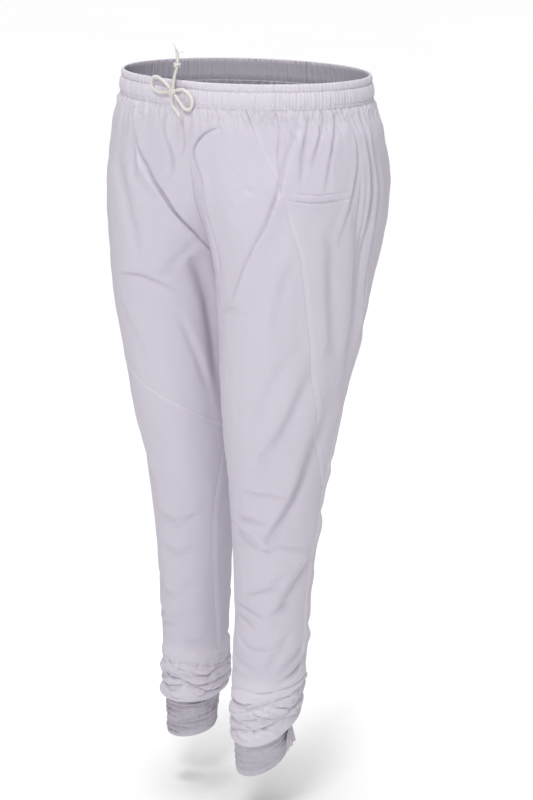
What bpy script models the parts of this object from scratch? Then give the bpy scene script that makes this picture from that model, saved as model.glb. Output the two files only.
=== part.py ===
"""Churidar pants as they hang on a wearer, hollow: metres, +Z up, front towards -Y, wearer's left at +X.

The origin is the middle of the waist, halfway up the waistband. Every piece of cloth is a closed wall
built from horizontal rings of the worn form. A place on a leg is a height and a turn, in degrees round
the leg: -90 at the inseam, 0 at the front, 90 at the outer side and 180 at the back.
"""
import math
from collections import namedtuple

import bmesh
import bpy
from mathutils import Vector

NAME = "churidar_pants"

# Cloth, seams and the waistband
SEAM = 0.0003
WALL = 0.0016
BAND_HALF = 0.016
BAND_WALL = 0.0022
BAND_GATHERS = 104
BAND_INNER_COLUMNS = 52
CUFF_WALL = 0.0018
CUFF_COLUMNS = 24

# Gathers under the waistband: how many a panel has, how far each stands out and how far down it fades
PANEL_GATHERS = 22
GORE_GATHERS = 10
GATHER_RISE = 0.0030
GATHER_LEAST = 0.65
GATHER_SHORTEST = 0.045
GATHER_SPREAD = 0.065
GATHER_END = -0.120

# The uneven beat of the gathers: a row for each wave, with its rate, its phase and its share
Beat = namedtuple("Beat", "rate phase share")
GATHER_BEATS = (Beat(2.4, 0.7, 0.6), Beat(1.1, 0.0, 0.4))
BAND_BEATS = (Beat(1.7, 0.0, 0.5), Beat(0.31, 1.2, 0.5))
BAND_LEAST = 0.55

# The centre front seam hangs a little to the wearer's left of the middle, until the crotch draws it back
CENTRE_SHIFT = 0.020
CENTRE_SPREAD = 0.085
CENTRE_END = -0.21
CENTRE_BLEND = 0.12
CENTRE_DEPTH = 0.08

# Columns of each panel below the gathers
FRONT_COLUMNS = 11
BACK_COLUMNS = 9
GORE_COLUMNS = 4

# Where the gore's edges would meet, how far above that it stops, and the height of the bias join
# across the right front with its climb for each degree of turn
GORE_END = -0.540
GORE_FOOT = 0.0035
JOIN_HEIGHT = -0.405
JOIN_CLIMB = 0.00083
JOIN_REACH_UP = 0.15
JOIN_REACH_DOWN = 0.20

# Heights of the cloth's rows, and where they change their spacing
GATHER_LEVELS = (-0.025, -0.040, -0.060, -0.088, -0.125)
CROTCH_TOP = -0.225
CROTCH_LEVELS = (-0.236, -0.243, -0.248, -0.252, -0.260, -0.275)
KNEE_TOP = -0.500
KNEE_END = -0.620
STACK_TOP = -0.800
FOOT_HEIGHT = 0.004

# Where the ankle folds begin to slope with the hem
ANKLE_START = -0.78
ANKLE_BLEND = 0.10

# The height where a leg's cloth meets its cuff, the rise of the hem's high side, the turn of its low side
Ankle = namedtuple("Ankle", "ledge rise low_turn")
LEFT_ANKLE = Ankle(-0.900, 0.032, -10)
RIGHT_ANKLE = Ankle(-0.889, 0.014, 25)

# The turned-in foot of a panel above its cuff: height over the ledge and stand-off, outside and inside
FootRow = namedtuple("FootRow", "over stand")
FOOT_OUTER = (FootRow(0.0009, 0.0030), FootRow(SEAM, 0.0002))
FOOT_INNER = (FootRow(0.0028, 0.0008), FootRow(SEAM, -WALL))

# Worn form: the ring's inmost and outmost x, and its front and back y, on the wearer's left side
Ring = namedtuple("Ring", "height inner outer front back")
HIPS = (
    Ring(0.016, -0.180, 0.180, -0.137, 0.139),
    Ring(-0.016, -0.184, 0.184, -0.140, 0.142),
    Ring(-0.060, -0.190, 0.198, -0.142, 0.149),
    Ring(-0.120, -0.095, 0.202, -0.142, 0.151),
    Ring(-0.160, -0.045, 0.198, -0.141, 0.147),
    Ring(-0.190, -0.022, 0.194, -0.139, 0.140),
    Ring(-0.220, -0.008, 0.190, -0.137, 0.131),
    Ring(-0.250, 0.000, 0.186, -0.134, 0.121),
)
LEFT_LEG = (
    Ring(-0.320, 0.004, 0.178, -0.130, 0.102),
    Ring(-0.400, 0.008, 0.165, -0.124, 0.080),
    Ring(-0.500, 0.016, 0.149, -0.113, 0.052),
    Ring(-0.600, 0.026, 0.138, -0.103, 0.030),
    Ring(-0.700, 0.031, 0.132, -0.101, 0.013),
    Ring(-0.800, 0.034, 0.129, -0.106, 0.004),
    Ring(-0.885, 0.040, 0.122, -0.108, -0.010),
    Ring(-0.900, 0.042, 0.118, -0.107, -0.021),
    Ring(-0.946, 0.046, 0.114, -0.106, -0.030),
)
RIGHT_LEG = (
    Ring(-0.320, 0.004, 0.178, -0.126, 0.104),
    Ring(-0.400, 0.006, 0.163, -0.116, 0.080),
    Ring(-0.500, 0.010, 0.144, -0.096, 0.058),
    Ring(-0.600, 0.018, 0.132, -0.084, 0.042),
    Ring(-0.700, 0.026, 0.127, -0.074, 0.035),
    Ring(-0.790, 0.032, 0.126, -0.066, 0.032),
    Ring(-0.874, 0.034, 0.124, -0.062, 0.029),
    Ring(-0.889, 0.042, 0.120, -0.060, 0.018),
    Ring(-0.946, 0.048, 0.118, -0.058, 0.012),
)

# Turns of the side seam and the inseam, which swing a little round each leg
Seams = namedtuple("Seams", "height side inseam")
LEFT_SEAMS = (
    Seams(0.016, 93, -90), Seams(-0.180, 94, -90), Seams(-0.300, 106, -90), Seams(-0.400, 112, -90),
    Seams(-0.560, 105, -90), Seams(-0.700, 99, -90), Seams(-0.800, 96, -90), Seams(-0.946, 96, -90),
)
RIGHT_SEAMS = (
    Seams(0.016, 93, -90), Seams(-0.250, 95, -90), Seams(-0.400, 98, -84), Seams(-0.500, 98, -74),
    Seams(-0.620, 97, -67), Seams(-0.720, 96, -72), Seams(-0.800, 96, -80), Seams(-0.946, 96, -84),
)

# The gore's front edge on the left leg, from the waistband down to the side seam
Edge = namedtuple("Edge", "height turn")
GORE_EDGE = (
    Edge(0.016, 27), Edge(-0.032, 31), Edge(-0.101, 37), Edge(-0.164, 41), Edge(-0.200, 46),
    Edge(-0.260, 52), Edge(-0.380, 66), Edge(-0.470, 84), Edge(-0.520, 98), Edge(-0.540, 105.7),
)

# Folds: three (height, turn) places along each, its depth, the lip beside it and its half width
Fold = namedtuple("Fold", "start middle end depth lip width")
FOLD_STEPS = 8
FOLD_REACH = 3.0
FOLD_FADE = 0.02
FOLD_TIP = 0.06
FOLD_FULLNESS = 0.7
LIP_OFFSET = 1.7
LEFT_FOLDS = (
    Fold((-0.028, 31), (-0.046, 16), (-0.085, 3), 0.003, 0.002, 0.007),
    Fold((-0.110, 39), (-0.190, 20), (-0.268, -14), 0.005, 0.004, 0.011),
    Fold((-0.040, 70), (-0.120, 74), (-0.200, 83), 0.004, 0.003, 0.010),
    Fold((-0.050, 84), (-0.180, 88), (-0.370, 104), 0.005, 0.003, 0.010),
    Fold((-0.200, 88), (-0.235, 70), (-0.264, 52), 0.003, 0.003, 0.009),
    Fold((-0.100, 110), (-0.250, 114), (-0.420, 122), 0.005, 0.004, 0.012),
    Fold((-0.425, 87), (-0.530, 56), (-0.604, 25), 0.008, 0.005, 0.013),
    Fold((-0.530, -14), (-0.535, 30), (-0.541, 66), 0.004, 0.002, 0.009),
    Fold((-0.558, -38), (-0.578, -8), (-0.603, 22), 0.004, 0.003, 0.010),
    Fold((-0.630, -30), (-0.655, 12), (-0.640, 60), 0.003, 0.003, 0.010),
    Fold((-0.698, -42), (-0.724, 15), (-0.688, 84), 0.005, 0.004, 0.012),
    Fold((-0.745, -24), (-0.766, 38), (-0.746, 96), 0.004, 0.004, 0.010),
    Fold((-0.785, -24), (-0.802, 30), (-0.786, 98), 0.005, 0.004, 0.010),
    Fold((-0.250, 132), (-0.285, 180), (-0.268, 238), 0.006, 0.005, 0.014),
    Fold((-0.330, 140), (-0.352, 180), (-0.345, 226), 0.004, 0.003, 0.012),
    Fold((-0.500, 140), (-0.530, 188), (-0.508, 240), 0.006, 0.004, 0.012),
    Fold((-0.560, 128), (-0.590, 176), (-0.566, 232), 0.006, 0.004, 0.012),
    Fold((-0.660, 130), (-0.690, 180), (-0.668, 236), 0.005, 0.004, 0.012),
    Fold((-0.735, 126), (-0.760, 185), (-0.740, 240), 0.004, 0.004, 0.010),
)
RIGHT_FOLDS = (
    Fold((-0.066, 21), (-0.135, 2), (-0.222, -60), 0.009, 0.006, 0.011),
    Fold((-0.040, 60), (-0.110, 62), (-0.190, 70), 0.004, 0.003, 0.010),
    Fold((-0.253, 12), (-0.252, -18), (-0.286, -48), 0.004, 0.003, 0.009),
    Fold((-0.335, -40), (-0.352, -56), (-0.352, -72), 0.003, 0.002, 0.008),
    Fold((-0.596, 24), (-0.598, -12), (-0.590, -52), 0.004, 0.003, 0.010),
    Fold((-0.640, 26), (-0.654, -10), (-0.655, -52), 0.005, 0.003, 0.010),
    Fold((-0.690, 60), (-0.724, 0), (-0.706, -56), 0.004, 0.004, 0.012),
    Fold((-0.760, 62), (-0.784, 0), (-0.772, -62), 0.005, 0.004, 0.011),
    Fold((-0.050, 84), (-0.180, 90), (-0.370, 102), 0.005, 0.003, 0.010),
    Fold((-0.430, 92), (-0.500, 72), (-0.560, 44), 0.005, 0.004, 0.013),
    Fold((-0.250, 130), (-0.280, 176), (-0.270, 236), 0.006, 0.005, 0.014),
    Fold((-0.470, 140), (-0.500, 182), (-0.485, 236), 0.005, 0.004, 0.012),
    Fold((-0.560, 128), (-0.592, 180), (-0.572, 238), 0.006, 0.004, 0.012),
    Fold((-0.650, 126), (-0.680, 182), (-0.660, 240), 0.005, 0.004, 0.012),
    Fold((-0.735, 124), (-0.765, 180), (-0.745, 240), 0.004, 0.004, 0.010),
)

# Cloth stacked above each cuff: a ring fold's height, how far its low side dips, where, and its bulge
Stack = namedtuple("Stack", "height dip low_turn bulge")
STACK_HALF = 0.0058
LEFT_STACK = (
    Stack(-0.825, 0.006, 20, 0.0025), Stack(-0.840, 0.005, -30, 0.0040), Stack(-0.854, 0.004, 60, 0.0045),
    Stack(-0.868, 0.004, -10, 0.0050), Stack(-0.881, 0.003, 40, 0.0055), Stack(-0.893, 0.001, 0, 0.0050),
)
RIGHT_STACK = (
    Stack(-0.828, 0.006, -20, 0.0030), Stack(-0.842, 0.005, 40, 0.0045), Stack(-0.856, 0.004, -30, 0.0055),
    Stack(-0.869, 0.003, 20, 0.0060), Stack(-0.881, 0.001, 0, 0.0055),
)

# Waistband rows: height, stand-off of the casing and of its gathers
BandRow = namedtuple("BandRow", "height stand gather")
BAND_ROWS = (
    BandRow(0.0160, 0.0004, 0.0014), BandRow(0.0115, 0.0008, 0.0016), BandRow(0.0078, -0.0004, 0.0007),
    BandRow(-0.0040, 0.0020, 0.0016), BandRow(-0.0160, -0.0002, 0.0009),
)

# Cuff wrinkles: the share of the cuff's height, and how far the cloth stands out there
CuffRow = namedtuple("CuffRow", "share stand")
CUFF_UNEVEN = 0.3
CUFF_WAVES = 3
CUFF_TWIST = 500
CUFF_ROWS = (
    CuffRow(0.00, 0.0000), CuffRow(0.08, 0.0010), CuffRow(0.17, -0.0002), CuffRow(0.27, 0.0011),
    CuffRow(0.37, -0.0003), CuffRow(0.47, 0.0009), CuffRow(0.56, -0.0002), CuffRow(0.66, 0.0010),
    CuffRow(0.75, -0.0001), CuffRow(0.84, 0.0008), CuffRow(0.92, 0.0001), CuffRow(1.00, 0.0006),
)

# Vent flap beside each cuff: rows of share down, half width in degrees and stand-off
FlapRow = namedtuple("FlapRow", "share spread stand")
FLAP_TURN = 101
FLAP_LENGTH = 0.027
FLAP_WALL = 0.0012
FLAP_COLUMNS = 4
FLAP_ROWS = (
    FlapRow(0.00, 5.0, 0.0031), FlapRow(0.35, 8.0, 0.0050),
    FlapRow(0.70, 11.0, 0.0078), FlapRow(1.00, 13.0, 0.0100),
)

# Drawstring: its size, its knot, and the routes of its loops and ends away from the knot
Spot = namedtuple("Spot", "x height stand")
CORD = 0.0045
CORD_SEAT = 0.0004
CORD_STEP = 0.0100
KNOT = Spot(-0.004, 0.002, 0.0078)
KNOT_SIZE = (0.0056, 0.0038, 0.0048)
KNOT_SEGMENTS = 12
KNOT_RINGS = 7
KNOT_GROOVE_DEPTH = 0.12
KNOT_GROOVE_PLACE = 0.55
KNOT_GROOVE_WIDTH = 0.16
LOOP_TO_THE_RIGHT = (
    Spot(-0.0200, 0.0125, 0.0066), Spot(-0.0330, 0.0178, 0.0063), Spot(-0.0425, 0.0165, 0.0062),
    Spot(-0.0445, 0.0080, 0.0062), Spot(-0.0380, 0.0012, 0.0062), Spot(-0.0250, -0.0012, 0.0064),
)
LOOP_TO_THE_LEFT = (
    Spot(0.0110, 0.0052, 0.0070), Spot(0.0215, 0.0005, 0.0074), Spot(0.0285, -0.0085, 0.0080),
    Spot(0.0270, -0.0175, 0.0088), Spot(0.0185, -0.0190, 0.0090), Spot(0.0105, -0.0125, 0.0082),
)
END_UP = (
    Spot(-0.0032, 0.0150, 0.0070), Spot(-0.0022, 0.0230, 0.0060), Spot(0.0000, 0.0320, 0.0044),
    Spot(-0.0004, 0.0420, 0.0024), Spot(-0.0030, 0.0520, 0.0006),
)
END_DOWN = (
    Spot(-0.0050, -0.0095, 0.0080), Spot(-0.0015, -0.0165, 0.0086), Spot(0.0050, -0.0225, 0.0092),
    Spot(0.0120, -0.0300, 0.0096),
)

# Finishes as linear colours
COTTON = (0.76, 0.75, 0.81, 1.0)
CORD_COTTON = (0.83, 0.80, 0.74, 1.0)
COTTON_ROUGHNESS = 0.85
SHARP_ANGLE = 50


def clear_scene():
    for thing in list(bpy.data.objects):
        bpy.data.objects.remove(thing, do_unlink=True)


def material(name, colour):
    finish = bpy.data.materials.new(name)
    finish.use_nodes = True
    shader = finish.node_tree.nodes["Principled BSDF"]
    shader.inputs["Base Color"].default_value = colour
    shader.inputs["Roughness"].default_value = COTTON_ROUGHNESS
    shader.inputs["Metallic"].default_value = 0.0
    return finish


def ease(share):
    share = min(max(share, 0.0), 1.0)
    return share * share * (3 - 2 * share)


class Profile:
    """Smooth curves through a table's rows, read by height, with no overshoot between rows."""

    def __init__(self, rows):
        self.rows = sorted(tuple(row) for row in rows)
        count = len(self.rows)
        self.slopes = [[0.0] * len(self.rows[0]) for _ in range(count)]
        for column in range(1, len(self.rows[0])):
            rates = [
                (self.rows[i + 1][column] - self.rows[i][column]) / (self.rows[i + 1][0] - self.rows[i][0])
                for i in range(count - 1)
            ]
            for i in range(1, count - 1):
                before, after = rates[i - 1], rates[i]
                if before * after > 0:
                    self.slopes[i][column] = 2 * before * after / (before + after)
            self.slopes[0][column] = rates[0]
            self.slopes[-1][column] = rates[-1]

    def at(self, height):
        index = 0
        while index < len(self.rows) - 2 and height > self.rows[index + 1][0]:
            index += 1
        low, high = self.rows[index], self.rows[index + 1]
        span = high[0] - low[0]
        t = min(max((height - low[0]) / span, 0.0), 1.0)
        values = []
        for column in range(1, len(low)):
            start = self.slopes[index][column] * span
            end = self.slopes[index + 1][column] * span
            values.append(
                low[column] * (1 + 2 * t) * (1 - t) ** 2 + start * t * (1 - t) ** 2
                + high[column] * t * t * (3 - 2 * t) - end * t * t * (1 - t)
            )
        return values


class Leg:
    """One side of the worn form: its rings, seams and folds, with the tilt of its join, ankle and hem."""

    def __init__(self, side, rings, seams, folds, stack, ankle, join):
        self.side = side
        self.rings = Profile(HIPS + rings)
        self.seams = Profile(seams)
        self.folds = [self.trace(fold) for fold in folds]
        self.stack = stack
        self.ankle = ankle
        self.ledge = ankle.ledge
        self.hem = rings[-1].height
        self.join = join

    def ring(self, height):
        inner, outer, front, back = self.rings.at(height)
        return (inner + outer) / 2, (outer - inner) / 2, (front + back) / 2, (back - front) / 2

    def trace(self, fold):
        """The fold's line as short steps of (height, turn)."""
        line = []
        for step in range(FOLD_STEPS + 1):
            t = step / FOLD_STEPS
            weights = ((1 - t) * (1 - 2 * t), 4 * t * (1 - t), t * (2 * t - 1))
            line.append(tuple(
                sum(w * place[axis] for w, place in zip(weights, (fold.start, fold.middle, fold.end)))
                for axis in (0, 1)
            ))
        return fold, line

    def fold_relief(self, height, turn, arc):
        total = 0.0
        for fold, line in self.folds:
            reach = FOLD_REACH * fold.width
            if height > max(p[0] for p in line) + reach or height < min(p[0] for p in line) - reach:
                continue
            best = None
            for step in range(len(line) - 1):
                (h0, t0), (h1, t1) = line[step], line[step + 1]
                run, climb = (t1 - t0) * arc, h1 - h0
                over, up = (turn - t0) * arc, height - h0
                length = run * run + climb * climb
                share = min(max((over * run + up * climb) / length, 0.0), 1.0)
                off_over, off_up = over - share * run, up - share * climb
                distance = math.hypot(off_over, off_up)
                if best is None or distance < best[0]:
                    best = (distance, run * off_up - climb * off_over > 0, (step + share) / FOLD_STEPS)
            distance, above, along = best
            if distance > reach:
                continue
            signed = distance if above else -distance
            taper = math.sin(math.pi * (FOLD_TIP + (1 - 2 * FOLD_TIP) * along)) ** FOLD_FULLNESS
            trough = math.exp(-(signed / fold.width) ** 2)
            lip = math.exp(-(signed / fold.width + LIP_OFFSET) ** 2)
            total += taper * (fold.lip * lip - fold.depth * trough)
        return total

    def stack_relief(self, height, turn):
        total = 0.0
        for fold in self.stack:
            centre = fold.height - fold.dip * math.cos(math.radians(turn - fold.low_turn))
            total += fold.bulge * math.exp(-((height - centre) / STACK_HALF) ** 2)
        return total

    def join_height(self, height, turn):
        """On a leg with the bias join, levels near it slope as it does and meet again at both seams."""
        if not self.join:
            return height
        reach = JOIN_REACH_UP if height > JOIN_HEIGHT else JOIN_REACH_DOWN
        weight = max(0.0, 1 - abs(height - JOIN_HEIGHT) / reach)
        side, inseam = self.seams.at(height)
        if turn > side:
            share = (turn - side) / (inseam + 360 - side)
            turn = side + (inseam - side) * share
        return height + JOIN_CLIMB * turn * weight

    def front_edge(self, height):
        mid, half, _, _ = self.ring(height)
        if mid - half < SEAM / 2:
            return -math.degrees(math.asin(min((mid - SEAM / 2) / half, 1.0)))
        inseam = self.seams.at(height)[1]
        return inseam + self.gap(height, inseam)

    def back_edge(self, height):
        mid, half, _, _ = self.ring(height)
        if mid - half < SEAM / 2:
            return 180 + math.degrees(math.asin(min((mid - SEAM / 2) / half, 1.0)))
        inseam = self.seams.at(height)[1]
        return inseam + 360 - self.gap(height, inseam)

    def gap(self, height, turn):
        """Half a seam's gap, in degrees of turn."""
        _, half, _, depth = self.ring(height)
        angle = math.radians(turn)
        return math.degrees(SEAM / 2 / math.hypot(half * math.cos(angle), depth * math.sin(angle)))

    def point(self, height, turn, out=0.0, smooth=False):
        """A point of the cloth's outer face, moved out by a distance; smooth leaves the folds off."""
        height = self.join_height(height, turn)
        mid, half, centre, depth = self.ring(height)
        angle = math.radians(turn)
        sine, cosine = math.sin(angle), math.cos(angle)
        normal = Vector((sine / half, -cosine / depth)).normalized()
        if not smooth and height < -BAND_HALF:
            fade = ease((-BAND_HALF - height) / FOLD_FADE)
            arc = math.radians((half + depth) / 2)
            out += fade * self.fold_relief(height, turn, arc)
            if height > self.ledge:
                out += self.stack_relief(height, turn)
        across = max(mid + half * sine + out * normal.x, SEAM / 2)
        ahead = centre - depth * cosine + out * normal.y
        slope = ease((ANKLE_START - height) / ANKLE_BLEND)
        lift = self.ankle.rise * slope * (1 - math.cos(math.radians(turn - self.ankle.low_turn))) / 2
        return hang_centre(Vector((self.side * across, ahead, height + lift)))


def hang_centre(place):
    """Moves the cloth of the centre front to the wearer's left, fading to the sides and the crotch."""
    weight = ease((place.z - CENTRE_END) / CENTRE_BLEND) * ease(-place.y / CENTRE_DEPTH)
    place.x += CENTRE_SHIFT * weight * math.exp(-(place.x / CENTRE_SPREAD) ** 2)
    return place


def bridge(faces, first, second):
    """Triangles between two rows of points that run the same way and may differ in number."""
    i = j = 0
    last_i, last_j = len(first) - 1, len(second) - 1
    while i < last_i or j < last_j:
        next_i = (i + 1) / last_i if i < last_i else 2.0
        next_j = (j + 1) / last_j if j < last_j else 2.0
        if next_i <= next_j + 1e-9:
            faces.append((first[i], second[j], first[i + 1]))
            i += 1
        else:
            faces.append((first[i], second[j], second[j + 1]))
            j += 1


def wall(name, outer, inner, finish, collection, closed=False):
    """A closed body between rows of outer points and rows of inner points."""
    points = []
    rows = []
    for face_rows in (outer, inner):
        for row in face_rows:
            numbers = list(range(len(points), len(points) + len(row)))
            points.extend(row)
            rows.append(numbers + numbers[:1] if closed else numbers)
    outer_rows, inner_rows = rows[:len(outer)], rows[len(outer):]
    faces = []
    for side_rows in (outer_rows, inner_rows):
        for upper, lower in zip(side_rows, side_rows[1:]):
            bridge(faces, upper, lower)
    bridge(faces, outer_rows[0], inner_rows[0])
    bridge(faces, outer_rows[-1], inner_rows[-1])
    if not closed:
        for end in (0, -1):
            bridge(faces, [row[end] for row in outer_rows], [row[end] for row in inner_rows])
    mesh = bpy.data.meshes.new(name)
    mesh.from_pydata(points, [], faces)
    work = bmesh.new()
    work.from_mesh(mesh)
    bmesh.ops.recalc_face_normals(work, faces=work.faces)
    work.to_mesh(mesh)
    work.free()
    mesh.shade_smooth()
    mesh.set_sharp_from_angle(angle=math.radians(SHARP_ANGLE))
    mesh.materials.append(finish)
    piece = bpy.data.objects.new(name, mesh)
    collection.objects.link(piece)
    return piece


def spaced(start, end, steps):
    """Heights after start, down to and with end."""
    return [start + (end - start) * step / steps for step in range(1, steps + 1)]


def levels(leg):
    """The heights of a leg's rows, closest at the gathers, the crotch, the knee and the ankle."""
    rows = [-BAND_HALF - SEAM]
    rows += GATHER_LEVELS
    rows += spaced(GATHER_LEVELS[-1], CROTCH_TOP, 4)
    rows += CROTCH_LEVELS
    rows += spaced(CROTCH_LEVELS[-1], JOIN_HEIGHT, 4)
    rows += spaced(JOIN_HEIGHT, KNEE_TOP, 3)
    rows += [(KNEE_TOP + GORE_END) / 2, GORE_END]
    rows += spaced(GORE_END, KNEE_END, 4)
    rows += spaced(KNEE_END, STACK_TOP, 7)
    rows += spaced(STACK_TOP, leg.ledge + FOOT_HEIGHT, 12)
    return rows


def uneven_beat(beats, number):
    """A value from 0 to 1 that differs from one gather to the next, as hand gathers do."""
    return sum(beat.share * abs(math.sin(beat.rate * number + beat.phase)) for beat in beats)


def gather_rise(height, number):
    """How far one gather stands out: each fades at its own distance under the waistband."""
    beat = uneven_beat(GATHER_BEATS, number)
    reach = GATHER_SHORTEST + GATHER_SPREAD * beat
    size = GATHER_LEAST + (1 - GATHER_LEAST) * beat
    return GATHER_RISE * size * (1 - ease((-BAND_HALF - height) / reach))


def leg_panel(name, leg, rows, edges, columns, gathers, finish, collection, foot=False):
    """A panel of cloth between two edges, given as turns at each height, over the leg's rows."""
    outer, inner = [], []
    for height in rows:
        first, last = edges(height)
        if height > GATHER_END:
            count = gathers
            row = []
            for step in range(2 * count + 1):
                out = gather_rise(height, step) if step % 2 else 0.0
                row.append(leg.point(height, first + (last - first) * step / (2 * count), out))
            outer.append(row)
        else:
            count = columns
            outer.append([
                leg.point(height, first + (last - first) * step / count) for step in range(count + 1)
            ])
        inner.append([
            leg.point(height, first + (last - first) * step / count, -WALL) for step in range(count + 1)
        ])
    if foot:
        first, last = edges(leg.ledge)
        turns = [first + (last - first) * step / columns for step in range(columns + 1)]
        for face, table in ((outer, FOOT_OUTER), (inner, FOOT_INNER)):
            for over, out in table:
                face.append([leg.point(leg.ledge + over, turn, out, smooth=True) for turn in turns])
    return wall(name, outer, inner, finish, collection)


def waistband(leg_left, leg_right, finish, collection):
    """The gathered casing: waves stand out over a plain inside, with a groove at its stitch line."""
    outer, inner = [], []
    for row in BAND_ROWS:
        ring = []
        for step in range(2 * BAND_GATHERS):
            turn = -180 + 180 * step / BAND_GATHERS
            uneven = BAND_LEAST + (1 - BAND_LEAST) * uneven_beat(BAND_BEATS, step)
            out = row.stand + (row.gather * uneven if step % 2 else 0.0)
            leg = leg_left if turn >= 0 else leg_right
            ring.append(leg.point(row.height, abs(turn), out))
        outer.append(ring)
    for row in (BAND_ROWS[0], BAND_ROWS[-1]):
        ring = []
        for step in range(BAND_INNER_COLUMNS):
            turn = -180 + 360 * step / BAND_INNER_COLUMNS
            leg = leg_left if turn >= 0 else leg_right
            ring.append(leg.point(row.height, abs(turn), -BAND_WALL))
        inner.append(ring)
    return wall("waistband", outer, inner, finish, collection, closed=True)


def cuff(name, leg, finish, collection):
    """A narrow cuff with cross wrinkles outside and a plain inside."""
    turns = [360 * step / CUFF_COLUMNS - 90 for step in range(CUFF_COLUMNS)]
    outer, inner = [], []
    for share, stand in CUFF_ROWS:
        height = leg.ledge + (leg.hem - leg.ledge) * share
        row = []
        for turn in turns:
            uneven = 1 + CUFF_UNEVEN * math.sin(math.radians(CUFF_WAVES * turn + CUFF_TWIST * share))
            row.append(leg.point(height, turn, stand * uneven, smooth=True))
        outer.append(row)
    for share in (0.0, 0.5, 1.0):
        height = leg.ledge + (leg.hem - leg.ledge) * share
        inner.append([leg.point(height, turn, -CUFF_WALL, smooth=True) for turn in turns])
    return wall(name, outer, inner, finish, collection, closed=True)


def vent_flap(name, leg, finish, collection):
    """The free corner of the ankle's slit, standing off the cuff under the leg's edge."""
    outer, inner = [], []
    for share, spread, stand in FLAP_ROWS:
        height = leg.ledge - FLAP_LENGTH * share
        turns = [FLAP_TURN + spread * (2 * step / FLAP_COLUMNS - 1) for step in range(FLAP_COLUMNS + 1)]
        outer.append([leg.point(height, turn, stand, smooth=True) for turn in turns])
        inner.append([leg.point(height, turn, stand - FLAP_WALL, smooth=True) for turn in turns])
    return wall(name, outer, inner, finish, collection)


def before_band(spot):
    """A place in front of the waistband, by its x, height and distance from the casing's face."""
    _, outer, front, back = Profile(HIPS).at(spot.height)
    centre, depth = (front + back) / 2, (back - front) / 2
    return Vector((spot.x, centre - depth * math.sqrt(1 - (spot.x / outer) ** 2) - spot.stand, spot.height))


def knot_face(toward):
    """The point just off the knot where a cord leaves it towards a place."""
    centre = before_band(KNOT)
    way = (toward - centre).normalized()
    reach = 1 / math.sqrt(sum((way[axis] / KNOT_SIZE[axis]) ** 2 for axis in range(3)))
    return centre + way * (reach + CORD_SEAT)


def smooth_route(stations):
    """Points every CORD_STEP or so along a smooth curve through the stations."""
    route = [stations[0]]
    for i in range(len(stations) - 1):
        before = stations[max(i - 1, 0)]
        start, end = stations[i], stations[i + 1]
        after = stations[min(i + 2, len(stations) - 1)]
        steps = max(1, round((end - start).length / CORD_STEP))
        for step in range(1, steps + 1):
            t = step / steps
            route.append(0.5 * (
                2 * start + (end - before) * t + (2 * before - 5 * start + 4 * end - after) * t * t
                + (3 * start - before - 3 * end + after) * t ** 3
            ))
    return route


def cord(name, spots, finish, collection, loop=False):
    """A length of drawstring from the knot through its spots, and back to the knot if it is a loop."""
    stations = [before_band(spot) for spot in spots]
    stations.insert(0, knot_face(stations[0]))
    if loop:
        stations.append(knot_face(stations[-1]))
    route = smooth_route(stations)
    curve = bpy.data.curves.new(name, "CURVE")
    curve.dimensions = "3D"
    curve.bevel_depth = CORD / 2
    curve.bevel_resolution = 2
    curve.use_fill_caps = True
    spline = curve.splines.new("POLY")
    spline.points.add(len(route) - 1)
    for point, place in zip(spline.points, route):
        point.co = (place.x, place.y, place.z, 1.0)
    curve.materials.append(finish)
    piece = bpy.data.objects.new(name, curve)
    collection.objects.link(piece)
    return piece


def knot(name, finish, collection):
    """The bow's knot, a small lump wrapped once by the cord."""
    work = bmesh.new()
    bmesh.ops.create_uvsphere(work, u_segments=KNOT_SEGMENTS, v_segments=KNOT_RINGS, radius=1.0)
    centre = before_band(KNOT)
    for vertex in work.verts:
        off = (abs(vertex.co.x) - KNOT_GROOVE_PLACE) / KNOT_GROOVE_WIDTH
        wrap = 1 - KNOT_GROOVE_DEPTH * math.exp(-off * off)
        vertex.co = centre + Vector(vertex.co[axis] * KNOT_SIZE[axis] * wrap for axis in range(3))
    mesh = bpy.data.meshes.new(name)
    work.to_mesh(mesh)
    work.free()
    mesh.shade_smooth()
    mesh.materials.append(finish)
    piece = bpy.data.objects.new(name, mesh)
    collection.objects.link(piece)
    return piece


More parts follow.
